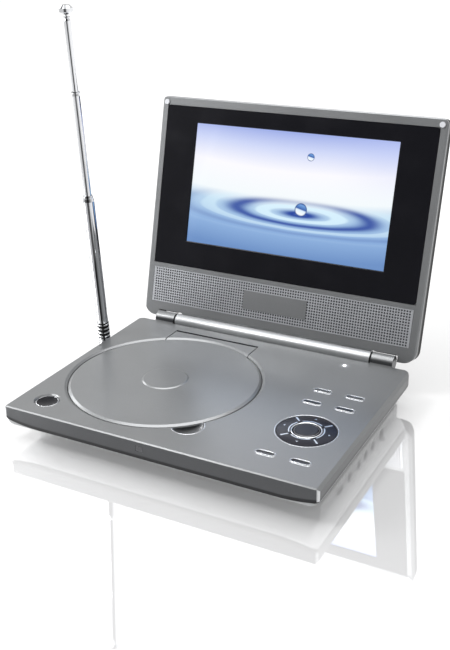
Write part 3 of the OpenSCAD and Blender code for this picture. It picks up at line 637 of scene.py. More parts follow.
@dataclass(frozen=True)
class CircuitBoard(Finish):
    """Solder mask over copper tracks, with rows of tinned pads."""

    def dress(self, kit: NodeKit) -> None:
        """Tracks from a blocky noise, and pads from a fine grid.

        Args:
            kit: The material's tree.
        """
        pitch = 0.0025
        across = kit.axis((1, 0, 0), scale=math.tau / pitch).sine()
        along = kit.axis((0, 1, 0), scale=math.tau / pitch).sine()
        pads = (across * along).step(0.72, 0.8) * kit.noise(60, 1).step(0.5, 0.56)
        blocks = kit.add("ShaderNodeTexVoronoi", {"distance": "MANHATTAN"}, {0: kit.place(), "Scale": 180.0})
        tracks = Value(kit, blocks.outputs["Distance"]).step(0.32, 0.36)
        copper = kit.mix(tracks, self.colour, tuple(min(1.0, c * 1.9) for c in self.colour))
        kit.surface("Base Color", kit.mix(pads, copper, (0.62, 0.62, 0.60)))
        kit.surface("Metallic", pads * 0.9)
        kit.surface("Roughness", self.roughness - tracks * 0.06)
        kit.bump(tracks * 0.6 + pads * 0.4, 0.00004, 0.7)


@dataclass(frozen=True)
class ShrinkFilm(Finish):
    """Tight plastic film round battery cells."""

    def dress(self, kit: NodeKit) -> None:
        """Wrinkles that run along the cells, under a clear skin.

        Args:
            kit: The material's tree.
        """
        wrinkles = kit.noise(220, 3, (0.3, 1.0, 1.0))
        self.tint(kit, wrinkles, 1.5)
        kit.surface("Roughness", self.roughness + wrinkles * 0.1)
        kit.bump(wrinkles, 0.0003, 0.5)
        kit.coat(0.4, 0.1)


@dataclass(frozen=True)
class ClearPlastic(Finish):
    """Tinted clear plastic of a lens or lamp, with an even glow."""

    glow: float = 0.0

    def dress(self, kit: NodeKit) -> None:
        """Faint cloudiness inside, and a glow that is the same all over.

        Args:
            kit: The material's tree.
        """
        cloud = kit.noise(400, 2)
        self.tint(kit, cloud, 1.2)
        kit.surface("Roughness", self.roughness + cloud * 0.05)
        kit.surface("Emission Color", self.colour)
        kit.surface("Emission Strength", self.glow)
        kit.coat(0.5, 0.05)


@dataclass(frozen=True)
class Canvas:
    """The face of the screen, with u across it and v up it, both from -1 to 1."""

    kit: NodeKit
    u: Value
    v: Value
    flatness: float

    def sky(self) -> bpy.types.NodeSocket:
        """Lavender at the top, white in the middle, pale blue at the horizon.

        Returns:
            The colour of the backdrop.
        """
        u, v = self.u, self.v
        stops = [
            (0.0, (0.15, 0.28, 0.56)),
            (0.18, (0.27, 0.44, 0.73)),
            (0.36, (0.50, 0.68, 0.85)),
            (0.46, (0.90, 0.95, 0.97)),
            (0.68, (0.96, 0.95, 0.99)),
            (0.86, (0.62, 0.68, 0.93)),
            (1.0, (0.34, 0.42, 0.80)),
        ]
        backdrop = self.kit.ramp((v * 0.5 + 0.5 - (u * u) * 0.05).held(), stops)
        side = (u + 0.2).size().step(0.5, 1.3) * v.step(-0.1, 0.9)
        return self.kit.mix(side * 0.35, backdrop, (0.42, 0.5, 0.9))

    def rings(self, backdrop: bpy.types.NodeSocket) -> bpy.types.NodeSocket:
        """Flat rings that spread from the drop, dark troughs and light crests.

        Args:
            backdrop: The colour that the rings are laid over.

        Returns:
            The picture so far.
        """
        kit, v = self.kit, self.v
        across = self.u - 0.15
        depth = (v + 0.3) * (3.4 - (v + 0.3) * 1.6)
        wobble = kit.noise(26, 2, (1.0, 1.0, 3.0)) * 0.10
        radius = (across * across + depth * depth).root() + wobble
        wave = (radius * 11.0).sine() * 0.5 + 0.5
        water = v.step(-0.02, -0.2)
        trough = wave**1.8 * radius.step(1.7, 0.5) * water
        crest = wave.step(0.28, 0.06) * water * radius.step(1.75, 0.3)
        blue = kit.mix(wave, (0.10, 0.30, 0.70), (0.012, 0.055, 0.34))
        picture = kit.mix(trough.held(), backdrop, blue)
        return kit.mix((crest * 0.85).held(), picture, (0.70, 0.90, 1.0))

    def drop(self, backdrop: bpy.types.NodeSocket, place: Pair, radius: float) -> bpy.types.NodeSocket:
        """A round drop, dark above and white below.

        Args:
            backdrop: The colour that it lies on.
            place: Its centre in u and v.
            radius: Its radius, in half widths of the screen.

        Returns:
            The picture with the drop.
        """
        across = (self.u - place[0]) / radius
        rise = (self.v - place[1]) * self.flatness / radius
        reach = (across * across + rise * rise).root()
        stops = [
            (0.0, (0.10, 0.25, 0.6)),
            (0.16, (0.95, 0.98, 1.0)),
            (0.46, (0.75, 0.88, 1.0)),
            (0.56, (0.03, 0.11, 0.40)),
            (0.85, (0.16, 0.35, 0.72)),
            (1.0, (0.05, 0.12, 0.36)),
        ]
        body = self.kit.ramp((rise * 0.5 + 0.5 + across * 0.12).held(), stops)
        rimmed = self.kit.mix(reach.step(0.72, 0.98), body, (0.02, 0.06, 0.25))
        return self.kit.mix(reach.step(1.05, 0.9), backdrop, rimmed)


@dataclass(frozen=True)
class ScreenPicture(Finish):
    """A lit screen that shows ripples spreading on blue water under a pale sky."""

    up: Point = (0.0, 0.0, 1.0)
    centre: Point = (0.0, 0.0, 0.0)
    half_width: float = 0.077
    half_height: float = 0.0433

    def dress(self, kit: NodeKit) -> None:
        """Sky, water, rings, a drop on the water and one falling above it.

        Args:
            kit: The material's tree.
        """
        u = kit.axis((1.0, 0.0, 0.0), self.centre, 1 / self.half_width)
        v = kit.axis(self.up, self.centre, 1 / self.half_height)
        canvas = Canvas(kit, u, v, self.half_height / self.half_width)
        picture = canvas.drop(canvas.rings(canvas.sky()), (0.15, -0.22), 0.062)
        kit.surface("Base Color", (0.01, 0.01, 0.012))
        kit.surface("Emission Color", canvas.drop(picture, (0.19, 0.63), 0.036))
        kit.surface("Emission Strength", 1.0)


DOOR = SatinPaint("silver_paint", (0.232, 0.238, 0.243), 0.33, 0.68, "door_silver")
SILVER = SatinPaint("silver_paint", (0.228, 0.234, 0.240), 0.38, 0.7, "lid_silver")
# The deck's silver, with painted shade and painted highlights on its upright sides
DECK = SideShadedPaint("silver_paint", (0.214, 0.219, 0.223), 0.33, 0.68, "deck_silver")
BRIGHT = SatinPaint("bright_silver", (0.40, 0.41, 0.42), 0.38, 0.75, "bright_satin", sparkle=0.12)
# Bright silver: the colour of the key rims, the open button's rim, the rim of the ring's hole and the ring's
# marks, and a painted highlight where it lies on the deck's own edges round the keys and the ring, and in the
# finger scoop and its edge
RIM_AND_HIGHLIGHT = SatinPaint("bright_silver", (0.74, 0.75, 0.77), 0.2, 0.95, "bright_rim_and_painted_highlight", sparkle=0.08)
CASE = CasePaint("case_silver", (0.33, 0.335, 0.34), 0.42, 0.5)
INNER = Moulded("inner_plastic", (0.035, 0.035, 0.038), 0.5)
GLOSS = Gloss("gloss_black", (0.004, 0.004, 0.006), 0.28, label="bezel_black", shine=0.02, specular=0.2)
RING = Gloss("gloss_black", (0.012, 0.012, 0.017), 0.2, label="ring_black", shine=0.0, specular=0.28)
SMOKE = Gloss("gloss_black", (0.045, 0.046, 0.05), 0.2, label="smoke_window")
BUTTON = Gloss("gloss_black", (0.008, 0.008, 0.010), 0.16, label="button_black", shine=0.0, specular=0.14)
REAR = Moulded("rear_black", (0.0055, 0.0055, 0.006), 0.5, grain=0.0005, depth=0.00002, specular=0.15)
FEET = Rubber("rubber", (0.02, 0.02, 0.021), 0.85)
PAD = Rubber("pad_rubber", (0.10, 0.105, 0.115), 0.8)
CLOTH = Rubber("grille_metal", (0.03, 0.031, 0.034), 0.8, label="speaker_cloth")
STEEL = BrushedMetal("steel", (0.52, 0.52, 0.54), 0.26, 1.0)
THIN = BrushedMetal("thin_metal", (0.58, 0.59, 0.60), 0.32, 1.0, along=(1.0, 0.03, 1.0))
GRILLE = BrushedMetal("grille_metal", (0.40, 0.41, 0.43), 0.38, 0.75)
PLATING = Chrome("chrome", (0.82, 0.83, 0.85), 0.05, 1.0)
BOARD = CircuitBoard("board", (0.012, 0.09, 0.03), 0.35)
WRAP = ShrinkFilm("battery_wrap", (0.025, 0.06, 0.18), 0.25)
WHITE = ClearPlastic("white_plastic", (0.60, 0.61, 0.64), 0.35, label="milky_plastic")
LAMP = ClearPlastic("white_plastic", (0.95, 0.96, 1.0), 0.2, label="lit_lamp", glow=2.5)
LENS = ClearPlastic("lens_plastic", (0.05, 0.06, 0.20), 0.05)


class PaintedKeyShade(Enum):
    """The keys' dark tops in lit and shaded copies by row: the paler tops further back are painted
    reflection, lighter towards the back as the deck's reflections are.
    """

    FRONT = Gloss("bright_silver", (0.022, 0.023, 0.026), 0.22, 0.6, "key_top_painted_dark")
    MIDDLE = Gloss("bright_silver", (0.04, 0.042, 0.046), 0.24, 0.7, "key_top_painted_grey")
    BACK = Gloss("bright_silver", (0.11, 0.115, 0.12), 0.26, 0.8, "key_top_painted_pale")


# ------------------------------------------------------------------ mesh kit


class Loop:
    """Closed outlines in a plane, as lists of points."""

    @staticmethod
    def circle(radius: float, steps: int = 64) -> Outline:
        """A circle.

        Args:
            radius: Its radius.
            steps: Points round it.

        Returns:
            The outline, anticlockwise.
        """
        turns = (math.tau * i / steps for i in range(steps))
        return [(radius * math.cos(t), radius * math.sin(t)) for t in turns]

    @staticmethod
    def rounded(width: float, height: float, radius: float, steps: int = 8) -> Outline:
        """A rectangle with round corners. A bar with round ends has radius height / 2.

        Args:
            width: Size along the first axis.
            height: Size along the second.
            radius: Radius of the corners.
            steps: Points in each corner, less one.

        Returns:
            The outline, anticlockwise.
        """
        points = []
        for corner, (sx, sy) in enumerate(((1, 1), (-1, 1), (-1, -1), (1, -1))):
            for i in range(steps + 1):
                turn = math.pi / 2 * (corner + i / steps)
                x = sx * (width / 2 - radius) + radius * math.cos(turn)
                y = sy * (height / 2 - radius) + radius * math.sin(turn)
                points.append((x, y))
        return points


class Shape:
    """A mesh built from lofted outlines, in millimetres in its own frame."""

    def __init__(self) -> None:
        """Start an empty mesh."""
        self.mesh = bmesh.new()

    def loft(self, levels: Sequence[Level], closed: bool = False) -> "Shape":
        """Skin a stack of outlines that have the same number of points.

        Args:
            levels: Pairs of an outline and its height.
            closed: Whether the last outline joins the first, as in a ring.

        Returns:
            This shape.
        """
        return self.sweep([[(x, y, z) for x, y in loop] for loop, z in levels], closed)

    def sweep(self, rows: Sequence[Sequence[Point]], closed: bool = False) -> "Shape":
        """Skin a bar from its cross sections, which have the same number of points.

        Args:
            rows: The cross sections, from one end to the other.
            closed: Whether the last joins the first. Otherwise both ends get a face.

        Returns:
            This shape.
        """
        made = [[self.mesh.verts.new(point) for point in row] for row in rows]
        for low, high in zip(made, made[1:] + made[:1] if closed else made[1:]):
            for i in range(len(low)):
                j = (i + 1) % len(low)
                self.mesh.faces.new((low[i], low[j], high[j], high[i]))
        if not closed:
            self.mesh.faces.new(reversed(made[0]))
            self.mesh.faces.new(made[-1])
        return self

    def lathe(self, profile: Sequence[Pair], steps: int = 64, closed: bool = False) -> "Shape":
        """Turn a profile of (radius, height) pairs about the z axis.

        Args:
            profile: The pairs, from the bottom up on the outside.
            steps: Points round each circle.
            closed: Whether the profile closes on itself, as in a bead.

        Returns:
            This shape.
        """
        return self.loft([(Loop.circle(max(r, 0.002), steps), z) for r, z in profile], closed)

    def piece(
        self, name: str, place: Matrix, finish: Finish, body: str, smooth: float = CREASE
    ) -> bpy.types.Object:
        """Finish the mesh as an object in metres, dress it and let it ride.

        Args:
            name: Name of the piece.
            place: Where its own frame lies, in millimetres.
            finish: Its finish.
            body: The body that it rides on.
            smooth: Largest angle, in degrees, that is shaded smooth.

        Returns:
            The new piece.
        """
        bmesh.ops.recalc_face_normals(self.mesh, faces=self.mesh.faces)
        self.mesh.transform(Matrix.Scale(MM, 4) @ place)
        data = bpy.data.meshes.new(name)
        self.mesh.to_mesh(data)
        self.mesh.free()
        return Workshop.install(name, data, finish, body, smooth)


class Workshop:
    """Puts finished meshes and CAD nodes on show."""

    @staticmethod
    def install(
        name: str, data: bpy.types.Mesh, finish: Finish, body: str, smooth: float = CREASE
    ) -> bpy.types.Object:
        """Make an object from a mesh in metres.

        Args:
            name: Name of the piece.
            data: The mesh.
            finish: Its finish.
            body: The body that it rides on.
            smooth: Largest angle, in degrees, that is shaded smooth.

        Returns:
            The new piece.
        """
        for polygon in data.polygons:
            polygon.use_smooth = True
        data.set_sharp_from_angle(angle=math.radians(smooth))
        data.materials.append(finish.material())
        piece = bpy.data.objects.new(name, data)
        bpy.context.scene.collection.objects.link(piece)
        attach(piece, body)
        LOG.info("piece %s on %s, %d faces", name, body, len(data.polygons))
        return piece

    @staticmethod
    def dress_all(looks: dict[Finish, str]) -> None:
        """Give groups of CAD nodes their finishes.

        Args:
            looks: For each finish, the names of its nodes with spaces between them.
        """
        for finish, nodes in looks.items():
            for node in nodes.split():
                Workshop.dress(node, finish)

    @staticmethod
    def dress(node: str, finish: Finish, edge: float = 0.0) -> None:
        """Give a CAD node its finish, and soften its edges.

        Args:
            node: Name of the CAD node.
            finish: Its finish.
            edge: Width of the softened edges, in millimetres. 0 leaves them crisp.
        """
        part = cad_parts[node]
        data = part.data
        data.materials.clear()
        data.materials.append(finish.material())
        for polygon in data.polygons:
            polygon.use_smooth = True
            polygon.material_index = 0
        custom = data.attributes.get("custom_normal")
        if custom:
            data.attributes.remove(custom)
        weld = part.modifiers.new("weld", "WELD")
        weld.merge_threshold = 1e-6
        if edge > 0:
            soften = part.modifiers.new("soften", "BEVEL")
            soften.width = edge * MM
            soften.segments = 2
            soften.limit_method = "ANGLE"
            soften.angle_limit = math.radians(CREASE)
            soften.use_clamp_overlap = True
            soften.harden_normals = True
        else:
            split = part.modifiers.new("crisp", "EDGE_SPLIT")
            split.split_angle = math.radians(CREASE)
            split.use_edge_sharp = False
        LOG.info("node %s in %s", node, finish.name)


def at(x: float, y: float, z: float) -> Matrix:
    """A frame moved to a point, in millimetres."""
    return Matrix.Translation((x, y, z))


# -------------------------------------------------------------- sub-assemblies


@dataclass
class Base:
    """The cases, feet, sockets and small windows of the base."""

    deck_top: float = 24.8
    scoop_radius: float = 10.0
    scoop_turn: float = -47.0
    scoop_reach: float = 66.0
    scoop_depth: float = 3.6
    scoop_wall: float = 0.35
    lip_half_turn: float = 92.0
    door_x: float = -35.0
    door_y: float = -2.5

    def build(self) -> None:
        """Dress the nodes and add the finger scoop."""
        Workshop.dress_all(
            {
                DECK: "deck_cover",
                CASE: "bottom_case",
                FEET: "rubber_feet",
                STEEL: "case_screws",
                LAMP: "light_pipe",
                SMOKE: "ir_window",
                INNER: "side_jacks power_switch board_components",
                BOARD: "main_board",
                WRAP: "battery_pack",
            }
        )
        self.add_scoop()

    def add_scoop(self) -> None:
        """The rounded dip in front of the door that a fingertip goes into, in bright silver that is a painted
        highlight on the deck's own surface.
        """
        turn = math.radians(self.scoop_turn)
        x = self.door_x + self.scoop_reach * math.cos(turn)
        y = self.door_y + self.scoop_reach * math.sin(turn)
        rim = self.scoop_radius - 0.15
        steps = 9
        angles = [math.pi / 2 * i / steps for i in range(1, steps + 1)]
        profile = [(rim, 0.0)] + [(rim * math.cos(a), -self.scoop_depth * math.sin(a)) for a in angles]
        under = [(r, z - self.scoop_wall) for r, z in reversed(profile)]
        loops = [(Loop.circle(max(r, 0.05)), z) for r, z in under + profile]
        place = at(x, y, self.deck_top - 0.5)
        Shape().loft(loops, closed=True).piece("finger_scoop", place, RIM_AND_HIGHLIGHT, "base", 60)
        self.add_scoop_lip(x, y, turn)

    def add_scoop_lip(self, x: float, y: float, turn: float) -> None:
        """The rolled edge of the dip, where the door leaves it open, in bright silver that is a painted
        highlight on the deck's own edge.

        Args:
            x: Centre of the dip across the deck.
            y: Centre along the deck.
            turn: Direction from the door's centre to the dip, in radians.
        """
        steps = 40
        reach = math.radians(self.lip_half_turn)
        section = [(-0.03, -0.6), (-0.06, -0.08), (0.12, 0.07), (0.4, 0.08), (0.62, 0.0), (0.4, -0.3)]
        rows = []
        for i in range(steps + 1):
            angle = turn + reach * (2 * i / steps - 1)
            spots = [(self.scoop_radius + r, z) for r, z in section]
            rows.append([(far * math.cos(angle), far * math.sin(angle), z) for far, z in spots])
        Shape().sweep(rows).piece("scoop_lip", at(x, y, self.deck_top), RIM_AND_HIGHLIGHT, "base", 50)


@dataclass
class DiscDrive:
    """The disc door, its latch and the drive under it."""

    button_x: float = -87.0
    button_y: float = -62.0
    deck_top: float = 24.8

    def build(self) -> None:
        """Dress the nodes and add the button's bright rim."""
        Workshop.dress_all(
            {
                DOOR: "disc_door",
                STEEL: "door_hinge_pins spindle_motor guide_rods sled_motor lead_screw",
                INNER: "door_latch disc_well spindle_hub pickup_sled",
                THIN: "traverse_chassis",
                FEET: "chassis_bushes",
                LENS: "objective_lens",
            }
        )
        Workshop.dress("open_button", BUTTON, 0.25)
        rim = [(6.75, -1.3), (6.72, -0.95), (6.9, -0.72), (7.2, -0.72), (7.42, -0.95), (7.42, -1.3)]
        place = at(self.button_x, self.button_y, self.deck_top)
        Shape().lathe(rim, 72, True).piece("open_button_rim", place, RIM_AND_HIGHLIGHT, "open_button", 50)


@dataclass
class Keypad:
    """The six pill keys, the navigation ring and what lies under them."""

    places: dict[str, tuple[float, float, PaintedKeyShade]] = field(
        default_factory=lambda: {
            "key_back_left": (65.5, 27.0, PaintedKeyShade.BACK),
            "key_back_right": (87.5, 27.0, PaintedKeyShade.BACK),
            "key_middle_left": (65.5, 9.6, PaintedKeyShade.MIDDLE),
            "key_middle_right": (87.5, 9.6, PaintedKeyShade.MIDDLE),
            "key_front_left": (65.5, -58.5, PaintedKeyShade.FRONT),
            "key_front_right": (87.5, -58.5, PaintedKeyShade.FRONT),
        }
    )
    length: float = 12.2
    width: float = 4.2
    deck_top: float = 24.8
    key_low: float = 21.4
    ring_x: float = 76.5
    ring_y: float = -24.5
    ring_radius: float = 18.1
    ring_inner: float = 8.6
    button_radius: float = 7.9

    def build(self) -> None:
        """Dress the nodes and build the caps, rims and marks."""
        Workshop.dress_all(
            {BOARD: "key_board", PAD: "rubber_keypad", INNER: "nav_gimbal", RING: "nav_ring centre_button"}
        )
        # painted_tone gives the row's copy of the key top, lighter towards the back as painted reflection
        for name, (x, y, painted_tone) in self.places.items():
            self.add_cap(name, x, y, painted_tone.value)
        self.add_ring_pieces()

    def outline(self, inset: float, z: float) -> Level:
        """A key's outline at one height.

        Args:
            inset: How far it is drawn in.
            z: Its height above the deck.

        Returns:
            The outline with its height.
        """
        width = self.width - 2 * inset
        return Loop.rounded(self.length - 2 * inset, width, width / 2 - 0.001, 10), z

    def add_cap(self, node: str, x: float, y: float, finish: Finish) -> None:
        """A key with a dark dished top, a bright rim, and a lip in the deck whose bright silver is a painted
        highlight on the deck's own edge.

        Args:
            node: Name of the key's node and body.
            x: Its centre across the deck.
            y: Its centre along the deck.
            finish: Finish of the top.
        """
        low = self.key_low - self.deck_top
        place = at(x, y, self.deck_top)
        levels = [(-0.9, low), (-0.9, low + 0.8), (0.0, low + 0.8), (0.0, -0.3), (0.1, -0.2), (0.3, 0.22)]
        levels += [(0.6, 0.16), (1.2, 0.1), (1.95, 0.08)]
        cap = Shape().loft([self.outline(*level) for level in levels])
        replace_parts(cap.piece(f"{node}_cap", place, finish, node, 35), node)
        rim = [(-0.05, -0.15), (-0.05, 0.12), (0.05, 0.3), (0.2, 0.36), (0.36, 0.3), (0.38, 0.05)]
        rim += [(0.2, -0.15)]
        # lip: the deck's own edge round the key, in bright silver as a painted highlight
        lip = [(-0.3, -0.5), (-0.34, -0.1), (-0.45, 0.05), (-0.6, 0.06), (-0.72, 0.0), (-0.6, -0.5)]
        for word, profile, body in (("rim", rim, node), ("lip", lip, "base")):
            shape = Shape().loft([self.outline(*level) for level in profile], closed=True)
            shape.piece(f"{node}_{word}", place, RIM_AND_HIGHLIGHT, body, 50)

    def add_ring_pieces(self) -> None:
        """Lip round the ring, in bright silver that is a painted highlight on the deck's own edge, rims round
        its hole and the button, and the marks.
        """
        place = at(self.ring_x, self.ring_y, self.deck_top)
        outer = self.ring_radius + 0.5
        # the ring's lip is the deck's own edge, in bright silver as a painted highlight
        lip = [(outer + 0.1, -0.5), (outer + 0.1, -0.1), (outer + 0.3, 0.06), (outer + 0.55, 0.07)]
        lip += [(outer + 0.8, 0.0), (outer + 0.5, -0.5)]
        Shape().lathe(lip, 96, True).piece("nav_lip", place, RIM_AND_HIGHLIGHT, "base", 50)
        inner = self.ring_inner
        rim = [(inner + 0.02, 0.0), (inner + 0.05, 0.3), (inner + 0.35, 0.48), (inner + 0.75, 0.45)]
        rim += [(inner + 0.95, 0.28), (inner + 0.9, 0.0)]
        Shape().lathe(rim, 96, True).piece("nav_hole_rim", place, RIM_AND_HIGHLIGHT, "nav", 50)
        edge = self.button_radius
        bead = [(edge - 0.05, -0.1), (edge - 0.02, 0.12), (edge - 0.3, 0.34), (edge - 0.75, 0.4)]
        bead += [(edge - 1.0, 0.3), (edge - 0.9, -0.1)]
        Shape().lathe(bead, 96, True).piece("centre_button_rim", place, BRIGHT, "centre", 50)
        self.add_marks(place)

    def add_marks(self, place: Matrix) -> None:
        """Four arrows and arcs on the ring, and a bar between each pair.

        Args:
            place: The ring's frame on the deck.
        """
        marks = Shape()
        for quarter in range(4):
            turn = math.pi / 2 * quarter
            arrow = [(15.2, 0.0), (13.9, 0.95), (14.2, 0.0), (13.9, -0.95)]
            self.lay_mark(marks, arrow, turn)
            bar = [(16.7, 0.55), (11.6, 0.4), (11.6, -0.4), (16.7, -0.55)]
            self.lay_mark(marks, bar, turn + math.pi / 4)
            self.lay_mark(marks, self.arc_band(10.35, 11.1, 0.62), turn)
        marks.piece("nav_marks", place, RIM_AND_HIGHLIGHT, "nav")

    @staticmethod
    def arc_band(inner: float, outer: float, reach: float, steps: int = 12) -> Outline:
        """The outline of a band along part of a circle.

        Args:
            inner: Its inner radius.
            outer: Its outer radius.
            reach: Its half angle, in radians.
            steps: Pieces along it.

        Returns:
            The outline, centred on the first axis.
        """
        turns = [reach * (2 * i / steps - 1) for i in range(steps + 1)]
        far = [(outer * math.cos(t), outer * math.sin(t)) for t in turns]
        return far + [(inner * math.cos(t), inner * math.sin(t)) for t in reversed(turns)]

    def lay_mark(self, shape: Shape, outline: Sequence[Pair], turn: float) -> None:
        """One thin raised mark on the ring.

        Args:
            shape: The mesh that it goes into.
            outline: Its outline, with the first axis along the ring's radius.
            turn: How far it is turned about the ring's centre, in radians.
        """
        cos, sin = math.cos(turn), math.sin(turn)
        turned = [(x * cos - y * sin, x * sin + y * cos) for x, y in outline]
        shape.loft([(turned, 0.05), (turned, 0.36)])


@dataclass
class Lid:
    """The screen lid, its hinge barrel and what they hold."""

    lean: float = 14.4
    hinge_y: float = 85.5
    hinge_z: float = 25.2
    face_y: float = 0.8
    bezel: tuple[float, float] = (205.0, 117.0)
    bezel_low: float = 41.6
    bezel_depth: float = 1.1
    screen: tuple[float, float] = (154.0, 86.6)
    screen_low: float = 60.6
    grille: tuple[float, float] = (203.6, 26.4)
    grille_low: float = 11.8
    plate: tuple[float, float] = (50.0, 13.6)
    plate_low: float = 18.0
    pitch: float = 1.95
    hole_corners: int = 8
    sheet_depth: float = 0.4
    notch_x: float = 86.4
    band_x: float = 77.45

    @property
    def turn(self) -> Matrix:
        """The lid's own frame: x across, y backwards, z up from the hinge."""
        return at(0, self.hinge_y, self.hinge_z) @ Matrix.Rotation(math.radians(-self.lean), 4, "X")

    @property
    def face(self) -> Matrix:
        """A frame on the lid's front: x across, y up the lid, z out of it."""
        return self.turn @ at(0, self.face_y, 0) @ Matrix.Rotation(math.radians(90), 4, "X")

    def build(self) -> None:
        """Dress the nodes and add the bezel, the picture and the speaker sheet."""
        Workshop.dress_all(
            {
                THIN: "backlight_module speaker_frames",
                BOARD: "lcd_driver_board inverter_board",
                INNER: "speaker_cones display_cable",
                WHITE: "lid_bumpers",
                STEEL: "lid_screws hinge_shafts",
                REAR: "lid_back",
            }
        )
        Workshop.dress("nameplate", SILVER, 0.15)
        Workshop.dress("hinge_barrel", BRIGHT, 0.15)
        Workshop.dress("lid_frame", self.frame_paint())
        self.add_bezel()
        self.add_picture()
        self.add_sheet()
        self.add_linings()

    def frame_paint(self) -> FramePaint:
        """Tell the frame's paint where the lid leans.

        Returns:
            The paint.
        """
        return FramePaint(
            "silver_paint",
            SILVER.colour,
            SILVER.roughness,
            SILVER.metallic,
            "frame_silver",
            back=tuple(self.turn.to_3x3() @ Vector((0, 1, 0))),
            origin=tuple(c * MM for c in self.turn @ Vector((0, 0, 0))),
        )

    def add_bezel(self) -> None:
        """The glossy surround, with round corners and a sunk step down to the glass."""
        mid = self.bezel_low + self.bezel[1] / 2
        screen_mid = self.screen_low + self.screen[1] / 2 - mid

        def ring(size: Pair, grow: float, radius: float, z: float) -> Level:
            """One edge of the bezel at one depth.

            Args:
                size: The bezel's or the screen's size.
                grow: How far the edge is moved outwards.
                radius: Radius of its corners.
                z: Its height over the lid's face.

            Returns:
                The outline with its height.
            """
            lift = screen_mid if size == self.screen else 0.0
            loop = Loop.rounded(size[0] + 2 * grow, size[1] + 2 * grow, radius)
            return [(x, y + lift) for x, y in loop], z

        shape = Shape().loft(
            [
                ring(self.bezel, 0.0, 2.2, -self.bezel_depth),
                ring(self.bezel, 0.0, 2.2, -0.25),
                ring(self.bezel, -0.2, 2.0, -0.05),
                ring(self.screen, 0.5, 0.6, -0.05),
                ring(self.screen, 0.15, 0.4, -0.2),
                ring(self.screen, 0.0, 0.3, -self.bezel_depth),
            ],
            closed=True,
        )
        bezel = shape.piece("bezel_surround", self.face @ at(0, mid, 0), GLOSS, "lid")
        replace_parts(bezel, "screen_bezel")

    def add_picture(self) -> None:
        """Give the screen's glass its lit picture."""
        up = tuple(self.turn.to_3x3() @ Vector((0, 0, 1)))
        centre = self.turn @ Vector((0, self.face_y, self.screen_low + self.screen[1] / 2))
        picture = ScreenPicture(
            "screen_glass",
            (0.01, 0.01, 0.012),
            0.12,
            up=up,
            centre=tuple(c * MM for c in centre),
            half_width=self.screen[0] / 2 * MM,
            half_height=self.screen[1] / 2 * MM,
        )
        Workshop.dress("lcd_glass", picture)

    def add_sheet(self) -> None:
        """The speaker sheet: a flat metal strip punched with rows of fine holes."""
        columns = round(self.grille[0] / self.pitch) - 1
        rows = round(self.grille[1] / self.pitch) - 1
        plate_half = self.plate[0] / 2
        plate_mid = self.plate_low + self.plate[1] / 2 - (self.grille_low + self.grille[1] / 2)
        shape = Shape()
        for row in range(rows):
            for column in range(columns):
                x = (column - (columns - 1) / 2) * self.pitch
                y = (row - (rows - 1) / 2) * self.pitch
                near = abs(x) < plate_half + 0.3 and abs(y - plate_mid) < self.plate[1] / 2 + 0.3
                self.punch(shape.mesh, x, y, blank=near)
        self.frame_sheet(shape.mesh, columns * self.pitch / 2, rows * self.pitch / 2)
        bmesh.ops.remove_doubles(shape.mesh, verts=shape.mesh.verts, dist=0.001)
        mid = self.grille_low + self.grille[1] / 2
        sheet = shape.piece("speaker_sheet", self.face @ at(0, mid, 0), GRILLE, "lid", 20)
        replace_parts(sheet, "speaker_grille")
        edge = Loop.rounded(*self.grille, 0.4, 2)
        cloth = Shape().loft([(edge, -0.6), (edge, -0.45)])
        cloth.piece("speaker_cloth", self.face @ at(0, mid, 0), CLOTH, "lid")

    def add_linings(self) -> None:
        """Dark strips in the lid's notches, over the knuckles, and dark bands at the barrel's ends."""
        edge = Loop.rounded(16.4, 4.2, 0.2, 2)
        section = [(4.7, -0.5), (5.14, -0.5), (5.14, 0.5), (4.7, 0.5)]
        for side, word in ((-1, "left"), (1, "right")):
            place = self.turn @ at(side * self.notch_x, 3.2, 0)
            Shape().loft([(edge, 5.3), (edge, 5.75)]).piece(f"notch_lining_{word}", place, REAR, "lid")
            place = self.turn @ at(side * self.band_x, 0, 0) @ Matrix.Rotation(math.radians(90), 4, "Y")
            Shape().lathe(section, 48, True).piece(f"barrel_band_{word}", place, REAR, "lid")

    def punch(self, mesh: bmesh.types.BMesh, x: float, y: float, blank: bool) -> None:
        """One square of the sheet, with a hole through it or plain.

        Args:
            mesh: The mesh that it goes into.
            x: Its centre across.
            y: Its centre up.
            blank: Whether it is left plain.
        """
        half, radius, corners = self.pitch / 2, self.pitch * 0.35, self.hole_corners
        square = [(1, 0), (1, 1), (0, 1), (-1, 1), (-1, 0), (-1, -1), (0, -1), (1, -1)]
        edge = [mesh.verts.new((x + half * sx, y + half * sy, 0)) for sx, sy in square]
        if blank:
            mesh.faces.new(edge)
            return
        hole = [(x + dx, y + dy) for dx, dy in Loop.circle(radius, corners)]
        top = [mesh.verts.new((*spot, -0.03)) for spot in hole]
        low = [mesh.verts.new((*spot, -self.sheet_depth)) for spot in hole]
        for i in range(corners):
            j = (i + 1) % corners
            mesh.faces.new((edge[i], edge[j], top[j], top[i]))
            mesh.faces.new((top[i], top[j], low[j], low[i]))

    def frame_sheet(self, mesh: bmesh.types.BMesh, half_x: float, half_y: float) -> None:
        """The plain margin round the punched field, turned back at its edge.

        Args:
            mesh: The mesh that it goes into.
            half_x: Half the width of the punched field.
            half_y: Half its height.
        """
        wide, high = self.grille[0] / 2, self.grille[1] / 2
        corners = ((1, 1), (-1, 1), (-1, -1), (1, -1))
        inner = [mesh.verts.new((sx * half_x, sy * half_y, 0)) for sx, sy in corners]
        outer = [mesh.verts.new((sx * wide, sy * high, 0)) for sx, sy in corners]
        deep = [mesh.verts.new((sx * wide, sy * high, -self.sheet_depth)) for sx, sy in corners]
        for i in range(4):
            j = (i + 1) % 4
            mesh.faces.new((inner[i], inner[j], outer[j], outer[i]))
            mesh.faces.new((outer[i], outer[j], deep[j], deep[i]))


